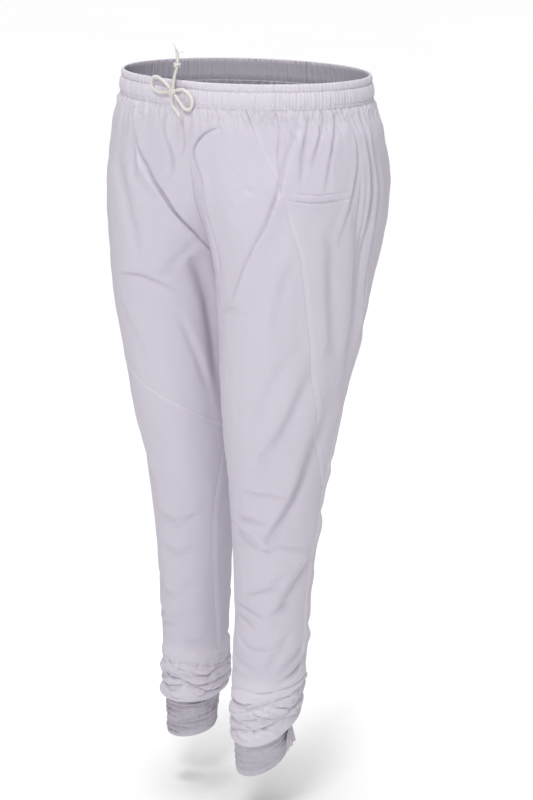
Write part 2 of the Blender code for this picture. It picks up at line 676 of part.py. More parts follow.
def main():
    clear_scene()
    collection = bpy.data.collections.new(NAME)
    bpy.context.scene.collection.children.link(collection)
    left = Leg(1, LEFT_LEG, LEFT_SEAMS, LEFT_FOLDS, LEFT_STACK, LEFT_ANKLE, join=False)
    right = Leg(-1, RIGHT_LEG, RIGHT_SEAMS, RIGHT_FOLDS, RIGHT_STACK, RIGHT_ANKLE, join=True)
    gore_edge = Profile(GORE_EDGE)

    def side_gap(leg, height):
        side = leg.seams.at(height)[0]
        return side, leg.gap(height, side)

    def front(leg):
        def edges(height):
            side, gap = side_gap(leg, height)
            return leg.front_edge(height), side - gap
        return edges

    def back(leg):
        def edges(height):
            side, gap = side_gap(leg, height)
            return side + gap, leg.back_edge(height)
        return edges

    def front_beside_gore(height):
        if height < GORE_END + SEAM:
            return front(left)(height)
        edge = gore_edge.at(height)[0]
        return left.front_edge(height), edge - left.gap(height, edge)

    def gore(height):
        side, gap = side_gap(left, height)
        edge = gore_edge.at(height)[0]
        return edge + left.gap(height, edge), side - gap

    left_rows, right_rows = levels(left), levels(right)
    gore_rows = [height for height in left_rows if height > GORE_END + SEAM] + [GORE_END + GORE_FOOT]
    upper_rows = [height for height in right_rows if height > JOIN_HEIGHT + SEAM] + [JOIN_HEIGHT + SEAM / 2]
    lower_rows = [JOIN_HEIGHT - SEAM / 2] + [height for height in right_rows if height < JOIN_HEIGHT - SEAM]

    waistband(left, right, material("waistband_cotton", COTTON), collection)
    beside_gore_gathers = PANEL_GATHERS - GORE_GATHERS
    panels = (
        ("front_left", left, left_rows, front_beside_gore, FRONT_COLUMNS, beside_gore_gathers, True),
        ("gore_left", left, gore_rows, gore, GORE_COLUMNS, GORE_GATHERS, False),
        ("back_left", left, left_rows, back(left), BACK_COLUMNS, PANEL_GATHERS, True),
        ("front_right_upper", right, upper_rows, front(right), FRONT_COLUMNS, PANEL_GATHERS, False),
        ("front_right_lower", right, lower_rows, front(right), FRONT_COLUMNS, PANEL_GATHERS, True),
        ("back_right", right, right_rows, back(right), BACK_COLUMNS, PANEL_GATHERS, True),
    )
    for name, leg, rows, edges, columns, gathers, foot in panels:
        finish = material(name + "_cotton", COTTON)
        leg_panel(name, leg, rows, edges, columns, gathers, finish, collection, foot)
    for word, leg in (("left", left), ("right", right)):
        cuff("cuff_" + word, leg, material("cuff_" + word + "_cotton", COTTON), collection)
        vent_flap("vent_flap_" + word, leg, material("vent_flap_" + word + "_cotton", COTTON), collection)
    knot("drawstring_knot", material("knot_cotton", CORD_COTTON), collection)
    for name, spots, loop in (
        ("drawstring_loop_right", LOOP_TO_THE_RIGHT, True),
        ("drawstring_loop_left", LOOP_TO_THE_LEFT, True),
        ("drawstring_end_up", END_UP, False),
        ("drawstring_end_down", END_DOWN, False),
    ):
        cord(name, spots, material(name + "_cotton", CORD_COTTON), collection, loop)


main()
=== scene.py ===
# %% [markdown]
# Churidar pants in white cotton.
#
# Churidar pants are light cotton trousers. A drawstring gathers them at the waist, and the legs are cut
# long and close, so that the spare length stacks in folds above each ankle. Here they keep the hollow form
# that they have when they are worn. The CAD solids fix that form at its real size, and this script dresses
# it: each cut piece becomes a thin, creased and stitched piece of cloth in the place of its solid.

# %% Load the fixed frame
import math
from collections import namedtuple

import bmesh
import bpy
import numpy as np
from mathutils import Matrix, Vector


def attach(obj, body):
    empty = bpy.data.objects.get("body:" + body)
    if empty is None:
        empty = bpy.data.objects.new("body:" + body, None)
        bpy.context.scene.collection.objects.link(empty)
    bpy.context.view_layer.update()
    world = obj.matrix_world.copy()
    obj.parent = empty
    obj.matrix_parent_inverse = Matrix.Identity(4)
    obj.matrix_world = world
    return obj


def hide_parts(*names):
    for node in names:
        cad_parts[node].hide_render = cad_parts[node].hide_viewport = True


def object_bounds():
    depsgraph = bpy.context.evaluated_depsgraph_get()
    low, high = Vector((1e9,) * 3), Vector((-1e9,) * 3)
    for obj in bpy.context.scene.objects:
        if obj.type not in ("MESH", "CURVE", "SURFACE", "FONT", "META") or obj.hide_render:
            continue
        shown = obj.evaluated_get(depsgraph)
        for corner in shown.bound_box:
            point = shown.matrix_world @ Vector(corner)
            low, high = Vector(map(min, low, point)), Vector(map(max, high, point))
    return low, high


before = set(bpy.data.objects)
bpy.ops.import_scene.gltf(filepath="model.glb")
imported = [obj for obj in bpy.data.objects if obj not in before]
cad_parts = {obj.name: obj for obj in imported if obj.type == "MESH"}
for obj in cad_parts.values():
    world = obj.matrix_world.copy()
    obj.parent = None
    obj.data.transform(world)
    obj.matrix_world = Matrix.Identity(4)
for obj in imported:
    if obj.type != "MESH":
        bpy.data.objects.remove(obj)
cad_low, cad_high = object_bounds()
BODY = "root"
print("CAD box:", [round(x, 4) for x in cad_low], [round(x, 4) for x in cad_high])

# %% [markdown]
# The camera stands about three metres away, a little above the waist and well round to the wearer's left,
# as the photo's does. A long lens keeps the near and the far leg close to one scale. The aim is a little
# off the garment's axis, which frames it without any lens shift.

# %% The camera
AZIMUTH, ELEVATION = math.radians(38.0), math.radians(15.5)
STAND_OFF = 3.12
TURNING_POINT = Vector((0.0, 0.0, -0.47))
AIM = Vector((0.0184, 0.0240, -0.4425))
LENS, SENSOR = 100.8, 36.0

towards_camera = Vector((
    math.sin(AZIMUTH) * math.cos(ELEVATION), -math.cos(AZIMUTH) * math.cos(ELEVATION), math.sin(ELEVATION)
))
lens = bpy.data.cameras.new("camera")
lens.lens = LENS
lens.sensor_width = SENSOR
camera = bpy.data.objects.new("camera", lens)
bpy.context.scene.collection.objects.link(camera)
camera.location = TURNING_POINT + STAND_OFF * towards_camera
camera.rotation_euler = (AIM - camera.location).to_track_quat("-Z", "Y").to_euler()
bpy.context.scene.camera = camera
print("camera at", [round(x, 3) for x in camera.location])

# %% [markdown]
# Everything is placed on one worn form, the same that the solids follow. A place on a leg is a height and
# a turn in degrees: -90 at the inseam, 0 at the front, 90 at the outer side and 180 at the back. Rings give
# the form at a few heights, and smooth curves fill in between. Arrays of places go through numpy at once,
# which is much quicker than a loop over vertices.

# %% Smooth curves through short tables
def ease(share):
    share = np.clip(share, 0.0, 1.0)
    return share * share * (3 - 2 * share)


class Profile:
    """Smooth curves through a table's rows, read by height, with no overshoot between rows."""

    def __init__(self, rows):
        table = np.array(sorted(tuple(row) for row in rows), float)
        self.heights, self.values = table[:, 0], table[:, 1:]
        rates = np.diff(self.values, axis=0) / np.diff(self.heights)[:, None]
        before, after = rates[:-1], rates[1:]
        agree = before * after > 0
        mean = 2 * before * after / np.where(agree, before + after, 1.0)
        self.slopes = np.vstack([rates[:1], np.where(agree, mean, 0.0), rates[-1:]])

    def at(self, height):
        height = np.asarray(height, float)
        index = np.clip(np.searchsorted(self.heights, height) - 1, 0, len(self.heights) - 2)
        span = self.heights[index + 1] - self.heights[index]
        t = np.clip((height - self.heights[index]) / span, 0.0, 1.0)
        columns = []
        for column in range(self.values.shape[1]):
            low, high = self.values[index, column], self.values[index + 1, column]
            start, end = self.slopes[index, column] * span, self.slopes[index + 1, column] * span
            columns.append(
                low * (1 + 2 * t) * (1 - t) ** 2 + start * t * (1 - t) ** 2
                + high * t * t * (3 - 2 * t) - end * t * t * (1 - t)
            )
        return columns


# %% The worn form's sizes
Ring = namedtuple("Ring", "height inner outer front back")
HIPS = (
    Ring(0.016, -0.180, 0.180, -0.137, 0.139),
    Ring(-0.016, -0.184, 0.184, -0.140, 0.142),
    Ring(-0.060, -0.190, 0.198, -0.142, 0.149),
    Ring(-0.120, -0.095, 0.202, -0.142, 0.151),
    Ring(-0.160, -0.045, 0.198, -0.141, 0.147),
    Ring(-0.190, -0.022, 0.194, -0.139, 0.140),
    Ring(-0.220, -0.008, 0.190, -0.137, 0.131),
    Ring(-0.250, 0.000, 0.186, -0.134, 0.121),
)
LEFT_LEG = (
    Ring(-0.320, 0.004, 0.178, -0.130, 0.102),
    Ring(-0.400, 0.008, 0.165, -0.124, 0.080),
    Ring(-0.500, 0.016, 0.149, -0.113, 0.052),
    Ring(-0.600, 0.026, 0.138, -0.103, 0.030),
    Ring(-0.700, 0.031, 0.132, -0.101, 0.013),
    Ring(-0.800, 0.034, 0.129, -0.106, 0.004),
    Ring(-0.885, 0.040, 0.122, -0.108, -0.010),
    Ring(-0.900, 0.042, 0.118, -0.107, -0.021),
    Ring(-0.946, 0.046, 0.114, -0.106, -0.030),
)
RIGHT_LEG = (
    Ring(-0.320, 0.004, 0.178, -0.126, 0.104),
    Ring(-0.400, 0.006, 0.163, -0.116, 0.080),
    Ring(-0.500, 0.010, 0.144, -0.096, 0.058),
    Ring(-0.600, 0.018, 0.132, -0.084, 0.042),
    Ring(-0.700, 0.026, 0.127, -0.074, 0.035),
    Ring(-0.790, 0.032, 0.126, -0.066, 0.032),
    Ring(-0.874, 0.034, 0.124, -0.062, 0.029),
    Ring(-0.889, 0.042, 0.120, -0.060, 0.018),
    Ring(-0.946, 0.048, 0.118, -0.058, 0.012),
)

# %% Where the seams run
Seams = namedtuple("Seams", "height side inseam")
LEFT_SEAMS = (
    Seams(0.016, 93, -90), Seams(-0.180, 94, -90), Seams(-0.300, 106, -90), Seams(-0.400, 112, -90),
    Seams(-0.560, 105, -90), Seams(-0.700, 99, -90), Seams(-0.800, 96, -90), Seams(-0.946, 96, -90),
)
RIGHT_SEAMS = (
    Seams(0.016, 93, -90), Seams(-0.250, 95, -90), Seams(-0.400, 98, -84), Seams(-0.500, 98, -74),
    Seams(-0.620, 97, -67), Seams(-0.720, 96, -72), Seams(-0.800, 96, -80), Seams(-0.946, 96, -84),
)
Edge = namedtuple("Edge", "height turn")
GORE_EDGE = (
    Edge(0.016, 27), Edge(-0.032, 31), Edge(-0.101, 37), Edge(-0.164, 41), Edge(-0.200, 46),
    Edge(-0.260, 52), Edge(-0.380, 66), Edge(-0.470, 84), Edge(-0.520, 98), Edge(-0.540, 105.7),
)
GORE_END = -0.540
JOIN_HEIGHT, JOIN_CLIMB = -0.405, 0.00083
JOIN_REACH_UP, JOIN_REACH_DOWN = 0.15, 0.20
Ankle = namedtuple("Ankle", "ledge rise low_turn")
LEFT_ANKLE = Ankle(-0.900, 0.032, -10)
RIGHT_ANKLE = Ankle(-0.889, 0.014, 25)
ANKLE_START, ANKLE_BLEND = -0.78, 0.10
BAND_HALF = 0.016
SEAM = 0.0001
CENTRE_SHIFT, CENTRE_SPREAD = 0.020, 0.085
CENTRE_END, CENTRE_BLEND, CENTRE_DEPTH = -0.21, 0.12, 0.08


# %% A leg that turns places into points
class Leg:
    """One side of the garment's hollow form. All its methods take arrays of heights and turns."""

    def __init__(self, side, rings, seams, ankle, join):
        self.side, self.ankle, self.join = side, ankle, join
        self.rings, self.seams = Profile(HIPS + rings), Profile(seams)
        self.ledge, self.hem = ankle.ledge, rings[-1].height

    def ring(self, height):
        inner, outer, front, back = self.rings.at(height)
        return (inner + outer) / 2, (outer - inner) / 2, (front + back) / 2, (back - front) / 2

    def arc(self, height):
        """Metres round the leg for each degree of turn."""
        _, half, _, depth = self.ring(height)
        return math.radians(1) * (half + depth) / 2

    def gap(self, height, turn):
        _, half, _, depth = self.ring(height)
        angle = np.radians(turn)
        return np.degrees(SEAM / 2 / np.hypot(half * np.cos(angle), depth * np.sin(angle)))

    def middle(self, height, back):
        """The turn at which the cloth reaches the garment's middle plane, or the inseam lower down."""
        mid, half, _, _ = self.ring(height)
        meets = np.degrees(np.arcsin(np.clip((mid - SEAM / 2) / half, -1.0, 1.0)))
        inseam = self.seams.at(height)[1]
        gap = self.gap(height, inseam)
        above = mid - half < SEAM / 2
        if back:
            return np.where(above, 180 + meets, inseam + 360 - gap)
        return np.where(above, -meets, inseam + gap)

    def side_seam(self, height):
        return self.seams.at(height)[0]

    def slope_near_join(self, height, turn):
        if not self.join:
            return height
        reach = np.where(height > JOIN_HEIGHT, JOIN_REACH_UP, JOIN_REACH_DOWN)
        weight = np.maximum(0.0, 1 - np.abs(height - JOIN_HEIGHT) / reach)
        side, inseam = self.seams.at(height)
        behind = side + (inseam - side) * (turn - side) / (inseam + 360 - side)
        return height + JOIN_CLIMB * np.where(turn > side, behind, turn) * weight

    def place(self, height, turn, out=0.0, droop=0.0):
        """Points of the cloth, moved out by one distance and down by another."""
        height = self.slope_near_join(height, turn)
        mid, half, centre, depth = self.ring(height)
        angle = np.radians(turn)
        sine, cosine = np.sin(angle), np.cos(angle)
        length = np.hypot(sine / half, cosine / depth)
        across = np.maximum(mid + half * sine + out * sine / half / length, SEAM / 2)
        ahead = centre - depth * cosine - out * cosine / depth / length
        slope = ease((ANKLE_START - height) / ANKLE_BLEND)
        lift = self.ankle.rise * slope * (1 - np.cos(np.radians(turn - self.ankle.low_turn))) / 2
        z = height + lift
        x = self.side * across
        weight = ease((z - CENTRE_END) / CENTRE_BLEND) * ease(-ahead / CENTRE_DEPTH)
        x = x + CENTRE_SHIFT * weight * np.exp(-(x / CENTRE_SPREAD) ** 2)
        return np.stack(np.broadcast_arrays(x, ahead, z - droop), axis=-1)


left_leg = Leg(1, LEFT_LEG, LEFT_SEAMS, LEFT_ANKLE, join=False)
right_leg = Leg(-1, RIGHT_LEG, RIGHT_SEAMS, RIGHT_ANKLE, join=True)
gore_edge = Profile(GORE_EDGE)
print("hip, half width:", round(float(left_leg.ring(-0.12)[1] + left_leg.ring(-0.12)[0]), 3), "m")

# %% [markdown]
# The drawstring comes out of the casing at the centre front and is tied in a flat bow with two short loops
# and two free ends. Each length of cord follows the route of its solid. A curve with a round bevel would
# look like wire, so each cord is swept as a mesh whose section has three lobes that wind along it, the way
# twisted cotton cord does.

# %% Routes of the drawstring
Spot = namedtuple("Spot", "x height stand")
CORD = 0.0045
CORD_SEAT = 0.0004
KNOT = Spot(-0.004, 0.002, 0.0078)
KNOT_SIZE = (0.0056, 0.0038, 0.0048)
LOOP_TO_THE_RIGHT = (
    Spot(-0.0200, 0.0125, 0.0066), Spot(-0.0330, 0.0178, 0.0063), Spot(-0.0425, 0.0165, 0.0062),
    Spot(-0.0445, 0.0080, 0.0062), Spot(-0.0380, 0.0012, 0.0062), Spot(-0.0250, -0.0012, 0.0064),
)
LOOP_TO_THE_LEFT = (
    Spot(0.0110, 0.0052, 0.0070), Spot(0.0215, 0.0005, 0.0074), Spot(0.0285, -0.0085, 0.0080),
    Spot(0.0270, -0.0175, 0.0088), Spot(0.0185, -0.0190, 0.0090), Spot(0.0105, -0.0125, 0.0082),
)
END_UP = (
    Spot(-0.0032, 0.0150, 0.0070), Spot(-0.0022, 0.0230, 0.0060), Spot(0.0000, 0.0320, 0.0044),
    Spot(-0.0004, 0.0420, 0.0024), Spot(-0.0030, 0.0520, 0.0006),
)
END_DOWN = (
    Spot(-0.0050, -0.0095, 0.0080), Spot(-0.0015, -0.0165, 0.0086), Spot(0.0050, -0.0225, 0.0092),
    Spot(0.0120, -0.0300, 0.0096),
)
ROUTE_STEP = 0.0009
hips = Profile(HIPS)


def before_band(spot):
    """A place in front of the waistband, by its x, height and distance from the casing's face."""
    _, outer, front, back = (float(value) for value in hips.at(spot.height))
    centre, depth = (front + back) / 2, (back - front) / 2
    return Vector((spot.x, centre - depth * math.sqrt(1 - (spot.x / outer) ** 2) - spot.stand, spot.height))


def knot_face(toward):
    """The point just off the knot where a cord leaves it towards a place."""
    centre = before_band(KNOT)
    way = (toward - centre).normalized()
    reach = 1 / math.sqrt(sum((way[axis] / KNOT_SIZE[axis]) ** 2 for axis in range(3)))
    return centre + way * (reach + CORD_SEAT)


def smooth_route(stations, step):
    route = [stations[0]]
    for i in range(len(stations) - 1):
        before, start = stations[max(i - 1, 0)], stations[i]
        end, after = stations[i + 1], stations[min(i + 2, len(stations) - 1)]
        steps = max(1, round((end - start).length / step))
        for number in range(1, steps + 1):
            t = number / steps
            route.append(0.5 * (
                2 * start + (end - before) * t + (2 * before - 5 * start + 4 * end - after) * t * t
                + (3 * start - before - 3 * end + after) * t ** 3
            ))
    return route


def route_through(spots, loop):
    stations = [before_band(spot) for spot in spots]
    stations.insert(0, knot_face(stations[0]))
    if loop:
        stations.append(knot_face(stations[-1]))
    return smooth_route(stations, ROUTE_STEP)


# %% Sweep a twisted cord along a route
CORD_SIDES = 15
CORD_LOBES = 3
CORD_TWIST = 0.0085
CORD_LOBE_DEPTH = 0.17


def sweep(route, radius, sides=CORD_SIDES, lobes=CORD_LOBES, twist=CORD_TWIST, lobe_depth=CORD_LOBE_DEPTH):
    """Points and faces of a closed tube whose lobed section winds along a route."""
    tangents = [(route[min(i + 1, len(route) - 1)] - route[max(i - 1, 0)]).normalized() for i in range(len(route))]
    across = tangents[0].orthogonal().normalized()
    points, faces, places = [], [], []
    travelled = 0.0
    for i, (centre, tangent) in enumerate(zip(route, tangents)):
        if i:
            travelled += (centre - route[i - 1]).length
        across = (across - tangent * across.dot(tangent)).normalized()
        up = tangent.cross(across)
        cap = min(i, len(route) - 1 - i)
        round_off = (0.35, 0.8, 0.96)[cap] if cap < 3 else 1.0
        for side in range(sides):
            angle = 2 * math.pi * side / sides
            lobe = 0.5 - 0.5 * math.cos(lobes * angle - 2 * math.pi * travelled / twist * lobes)
            reach = radius * round_off * (1 - lobe_depth * lobe)
            points.append(centre + reach * (across * math.cos(angle) + up * math.sin(angle)))
            places.append((side / sides, travelled))
    for i in range(len(route) - 1):
        for side in range(sides):
            after = (side + 1) % sides
            faces.append((i * sides + side, i * sides + after, (i + 1) * sides + after, (i + 1) * sides + side))
    faces.append(tuple(reversed(range(sides))))
    faces.append(tuple((len(route) - 1) * sides + side for side in range(sides)))
    return points, faces, places


def new_piece(name, points, faces, finish=None, places=None, recalculate=False):
    """A smooth mesh object at the origin, with its own UV map in metres where places are given."""
    mesh = bpy.data.meshes.new(name)
    mesh.from_pydata([tuple(point) for point in points], [], faces)
    if recalculate:
        work = bmesh.new()
        work.from_mesh(mesh)
        bmesh.ops.recalc_face_normals(work, faces=work.faces)
        work.to_mesh(mesh)
        work.free()
    if places is not None:
        corners = np.zeros(len(mesh.loops), np.int32)
        mesh.loops.foreach_get("vertex_index", corners)
        flat = np.asarray(places, np.float32)[corners]
        mesh.uv_layers.new(name="cloth").data.foreach_set("uv", flat.ravel())
    mesh.shade_smooth()
    if finish is not None:
        mesh.materials.append(finish)
    piece = bpy.data.objects.new(name, mesh)
    bpy.context.scene.collection.objects.link(piece)
    return piece


def triangles(piece):
    return sum(len(face.vertices) - 2 for face in piece.data.polygons)


def length_of(route):
    return sum((after - before).length for before, after in zip(route, route[1:]))


CordPlan = namedtuple("CordPlan", "node spots loop far_end")
CORDS = (
    CordPlan("drawstring_loop_right", LOOP_TO_THE_RIGHT, True, "knot"),
    CordPlan("drawstring_loop_left", LOOP_TO_THE_LEFT, True, "knot"),
    CordPlan("drawstring_end_up", END_UP, False, "bare"),
    CordPlan("drawstring_end_down", END_DOWN, False, "bare"),
)
cords = {}
for plan in CORDS:
    route = route_through(plan.spots, plan.loop)
    points, faces, places = sweep(route, CORD / 2)
    cords[plan.node] = (new_piece("cotton_" + plan.node, points, faces, None, places), route)
    print(plan.node, "is", round(length_of(route) * 1000), "mm long")

# %% [markdown]
# The knot is a small tight lump with one turn of cord pulled across it. The free end that stands up has an
# overhand knot near its tip, and beyond it the threads have come loose. The lump is a sphere with grooves,
# the turns are swept along short given loops, and the loose threads are a dozen thin sweeps.

# %% The bow's knot
KNOT_SEGMENTS, KNOT_RINGS = 32, 20
WRAP_TURN = 0.92
WRAP_RADIUS = 0.0019


def knot_lump():
    work = bmesh.new()
    bmesh.ops.create_uvsphere(work, u_segments=KNOT_SEGMENTS, v_segments=KNOT_RINGS, radius=1.0)
    centre = before_band(KNOT)
    points = []
    for vertex in work.verts:
        x, y, z = vertex.co
        groove = 1 - 0.10 * math.exp(-((abs(x) - 0.55) / 0.14) ** 2) - 0.05 * math.sin(5 * z + 2.5 * x) ** 2
        points.append(centre + Vector((x * KNOT_SIZE[0], y * KNOT_SIZE[1], z * KNOT_SIZE[2])) * groove)
    faces = [tuple(vertex.index for vertex in face.verts) for face in work.faces]
    work.free()
    return points, faces


def join_parts(parts):
    points, faces = [], []
    for part_points, part_faces in parts:
        faces.extend(tuple(index + len(points) for index in face) for face in part_faces)
        points.extend(part_points)
    return points, faces


def ring_route(centre, across, up, lean, turns, start, steps):
    """A short helix of cord round a centre."""
    route = []
    for step in range(steps + 1):
        share = step / steps
        angle = start + 2 * math.pi * turns * share
        route.append(centre + across * math.cos(angle) + up * math.sin(angle) + lean * (share - 0.5))
    return route


knot_centre = before_band(KNOT)
wrap = ring_route(
    knot_centre, Vector((0.0, -0.0036, 0.0006)), Vector((0.0012, 0.0006, 0.0046)), Vector((0.0032, 0, 0)),
    1.15, -1.9, 34,
)
wrap_points, wrap_faces, _ = sweep(wrap, WRAP_RADIUS)
knot_points, knot_faces = join_parts([knot_lump(), (wrap_points, wrap_faces)])
bow_knot = new_piece("cotton_drawstring_knot", knot_points, knot_faces)

# %% The overhand knot and the frayed tip on the upper end
TIP_THREADS = 14
TIP_LENGTH = 0.0075
THREAD_RADIUS = 0.00028
up_route = cords["drawstring_end_up"][1]
end_knot_at = up_route[int(len(up_route) * 0.63)]
end_turns = ring_route(
    end_knot_at, Vector((0.0031, 0.0, 0.0008)), Vector((0.0004, 0.0031, -0.0004)), Vector((0, 0, 0.0042)),
    1.7, 0.6, 44,
)
turn_points, turn_faces, turn_places = sweep(end_turns, 0.0019)
end_knot = new_piece("cotton_drawstring_end_knot", turn_points, turn_faces, None, turn_places)

random = np.random.default_rng(7)


def loose_threads(tip, heading, count):
    parts = []
    for _ in range(count):
        splay = Vector(random.normal(0, 0.5, 3))
        bend = Vector(random.normal(0, 0.35, 3))
        reach = TIP_LENGTH * random.uniform(0.5, 1.0)
        start = tip + 0.0012 * splay - 0.0022 * heading
        stations = [
            start + (heading + splay * share + bend * share * share) * reach * share for share in (0, 0.35, 0.7, 1)
        ]
        points, faces, _ = sweep(smooth_route(stations, 0.0011), THREAD_RADIUS, sides=5, lobes=1, lobe_depth=0)
        parts.append((points, faces))
    return join_parts(parts)


frays = []
for node in ("drawstring_end_up", "drawstring_end_down"):
    route = cords[node][1]
    heading = (route[-1] - route[-4]).normalized()
    points, faces = loose_threads(route[-1], heading, TIP_THREADS if node.endswith("up") else 9)
    frays.append(new_piece("frayed_" + node, points, faces))
print("loose threads:", sum(len(fray.data.polygons) for fray in frays), "faces")

# %% [markdown]
# Worn cotton is never smooth. Three things shape it here. Creases are soft troughs with a ridge beside
# them, placed as lines between three places, each with its own depth, width and side. Gathers fan
# out of the waistband in uneven waves that die away at different lengths. At the ankles the spare length
# stacks, so there the relief is a row of puffs between pinched lines that drift together and apart.
# Cloth simulation could make creases too, but these have to fall where the real ones do.

# %% Creases of the near leg, the wearer's left
Crease = namedtuple("Crease", "path depth lip width flare spread", defaults=(1.0, 1.15))
LEFT_CREASES = (
    Crease((
        (-0.040, 15), (-0.046, 9), (-0.058, 4), (-0.076, -1), (-0.098, -5.5), (-0.120, -10), (-0.142, -15),
        (-0.162, -17), (-0.184, -17.5),
    ), 0.0042, -0.0030, 0.0028, 1.0, 2.6),
    Crease(((-0.140, -17), (-0.175, -20), (-0.226, -21)), 0.0058, -0.0004, 0.0060),
    Crease(((-0.127, 13), (-0.117, 19), (-0.121, 25)), 0.0009, 0.0004, 0.0060),
    Crease((
        (-0.038, 52), (-0.060, 48), (-0.086, 43), (-0.116, 37), (-0.161, 27), (-0.187, 18), (-0.235, 1),
        (-0.262, -8),
    ), 0.0020, -0.0032, 0.0038, 1.0, 2.4),
    Crease(((-0.036, 44), (-0.070, 41.5), (-0.104, 39)), 0.0010, 0.0006, 0.0018),
    Crease(((-0.129, 39), (-0.1345, 57), (-0.131, 77)), 0.0010, 0.0011, 0.0015),
    Crease(((-0.121, 44), (-0.1245, 57), (-0.123, 74)), 0.0007, 0.0005, 0.0018),
    Crease(((-0.060, 96.5), (-0.190, 99), (-0.330, 108)), 0.0022, 0.0016, 0.0026),
    Crease(((-0.090, 86), (-0.180, 87), (-0.330, 96)), 0.0010, 0.0008, 0.0020),
    Crease(((-0.080, 89), (-0.190, 90.5), (-0.350, 100)), 0.0012, 0.0009, 0.0020),
    Crease(((-0.100, 83), (-0.190, 83.5), (-0.310, 92)), 0.0009, 0.0007, 0.0020),
    Crease(((-0.024, 59), (-0.060, 54), (-0.108, 49)), 0.0018, 0.0013, 0.0034),
    Crease(((-0.026, 66), (-0.055, 61), (-0.088, 56)), 0.0018, 0.0012, 0.0032),
    Crease(((-0.024, 73), (-0.068, 67), (-0.120, 61)), 0.0019, 0.0014, 0.0036),
    Crease(((-0.026, 80), (-0.085, 82), (-0.135, 77), (-0.185, 72)), 0.0020, 0.0016, 0.0040),
    Crease(((-0.028, 88), (-0.110, 91), (-0.215, 92)), 0.0034, 0.0026, 0.0060),
    Crease(((-0.040, 96), (-0.140, 99), (-0.290, 104)), 0.0040, 0.0030, 0.0080),
    Crease(((-0.205, 44), (-0.259, 35), (-0.320, 30)), 0.0012, 0.0010, 0.0090),
    Crease(((-0.284, -26), (-0.276, -10), (-0.278, 4)), 0.0012, 0.0010, 0.0045),
    Crease(((-0.180, 66), (-0.260, 72), (-0.360, 84)), 0.0024, 0.0020, 0.0110),
    Crease(((-0.150, 82), (-0.250, 92), (-0.400, 104)), 0.0034, 0.0026, 0.0100),
    Crease(((-0.395, 93), (-0.524, 68), (-0.600, 31)), 0.0068, 0.0042, 0.0070, 2.5),
    Crease(((-0.355, 66), (-0.440, 46), (-0.500, 17)), 0.0042, 0.0034, 0.0100, 1.3),
    Crease(((-0.340, 43), (-0.392, 27), (-0.440, 12)), 0.0016, 0.0012, 0.0080, 1.2),
    Crease(((-0.527, -6), (-0.531, 22), (-0.533, 52)), 0.0017, -0.0015, 0.0034),
    Crease(((-0.569, -18), (-0.571, 6), (-0.573, 27)), 0.0022, 0.0014, 0.0060),
    Crease(((-0.576, -24), (-0.588, 8), (-0.602, 29)), -0.0036, 0.0000, 0.0055),
    Crease(((-0.586, -24), (-0.598, -1), (-0.608, 17)), 0.0024, 0.0010, 0.0060),
    Crease(((-0.603, 24), (-0.607, 31), (-0.604, 40)), -0.0018, 0.0, 0.0030),
    Crease(((-0.611, 22), (-0.615, 32), (-0.611, 44)), 0.0013, 0.0008, 0.0026),
    Crease(((-0.604, 36), (-0.611, 60), (-0.620, 96)), 0.0013, 0.0010, 0.0045),
    Crease(((-0.628, 108), (-0.668, 72), (-0.708, 50)), 0.0044, 0.0028, 0.0090, 1.6),
    Crease(((-0.640, 66), (-0.656, 44), (-0.668, 30)), 0.0016, 0.0014, 0.0060),
    Crease(((-0.682, -4), (-0.672, 24), (-0.665, 50)), 0.0018, 0.0018, 0.0042),
    Crease(((-0.697, -34), (-0.702, 2), (-0.712, 27)), 0.0020, 0.0018, 0.0044),
    Crease(((-0.713, 29), (-0.697, 52), (-0.688, 80)), 0.0019, 0.0014, 0.0062),
    Crease(((-0.710, -28), (-0.718, -4), (-0.729, 13)), 0.0015, 0.0013, 0.0040),
    Crease(((-0.738, -26), (-0.756, 2), (-0.756, 34), (-0.740, 66)), 0.0018, 0.0016, 0.0050),
    Crease(((-0.742, 70), (-0.766, 50), (-0.788, 34)), 0.0024, 0.0015, 0.0085),
    Crease(((-0.758, 104), (-0.776, 78), (-0.794, 54)), 0.0032, 0.0018, 0.0080),
    Crease(((-0.768, 122), (-0.790, 92), (-0.812, 52)), 0.0028, 0.0020, 0.0070),
    Crease(((-0.770, -40), (-0.782, -8), (-0.786, 20)), 0.0018, 0.0014, 0.0060),
    Crease(((-0.833, -48), (-0.838, -28), (-0.836, -10)), 0.0016, 0.0008, 0.0030),
    Crease(((-0.826, -40), (-0.836, -8), (-0.832, 18)), 0.0018, -0.0016, 0.0026),
    Crease(((-0.842, 46), (-0.850, 66), (-0.862, 84)), 0.0022, 0.0016, 0.0028),
    Crease(((-0.846, 14), (-0.852, 28), (-0.858, 44)), 0.0018, -0.0014, 0.0022),
    Crease(((-0.858, -34), (-0.864, -14), (-0.862, 6)), 0.0020, -0.0014, 0.0022),
    Crease(((-0.866, 2), (-0.872, 14), (-0.880, 24)), 0.0016, 0.0010, 0.0020),
    Crease(((-0.872, 30), (-0.878, 50), (-0.890, 66)), 0.0018, 0.0012, 0.0026),
    Crease(((-0.880, -30), (-0.884, -8), (-0.888, 8)), 0.0016, -0.0012, 0.0024),
)

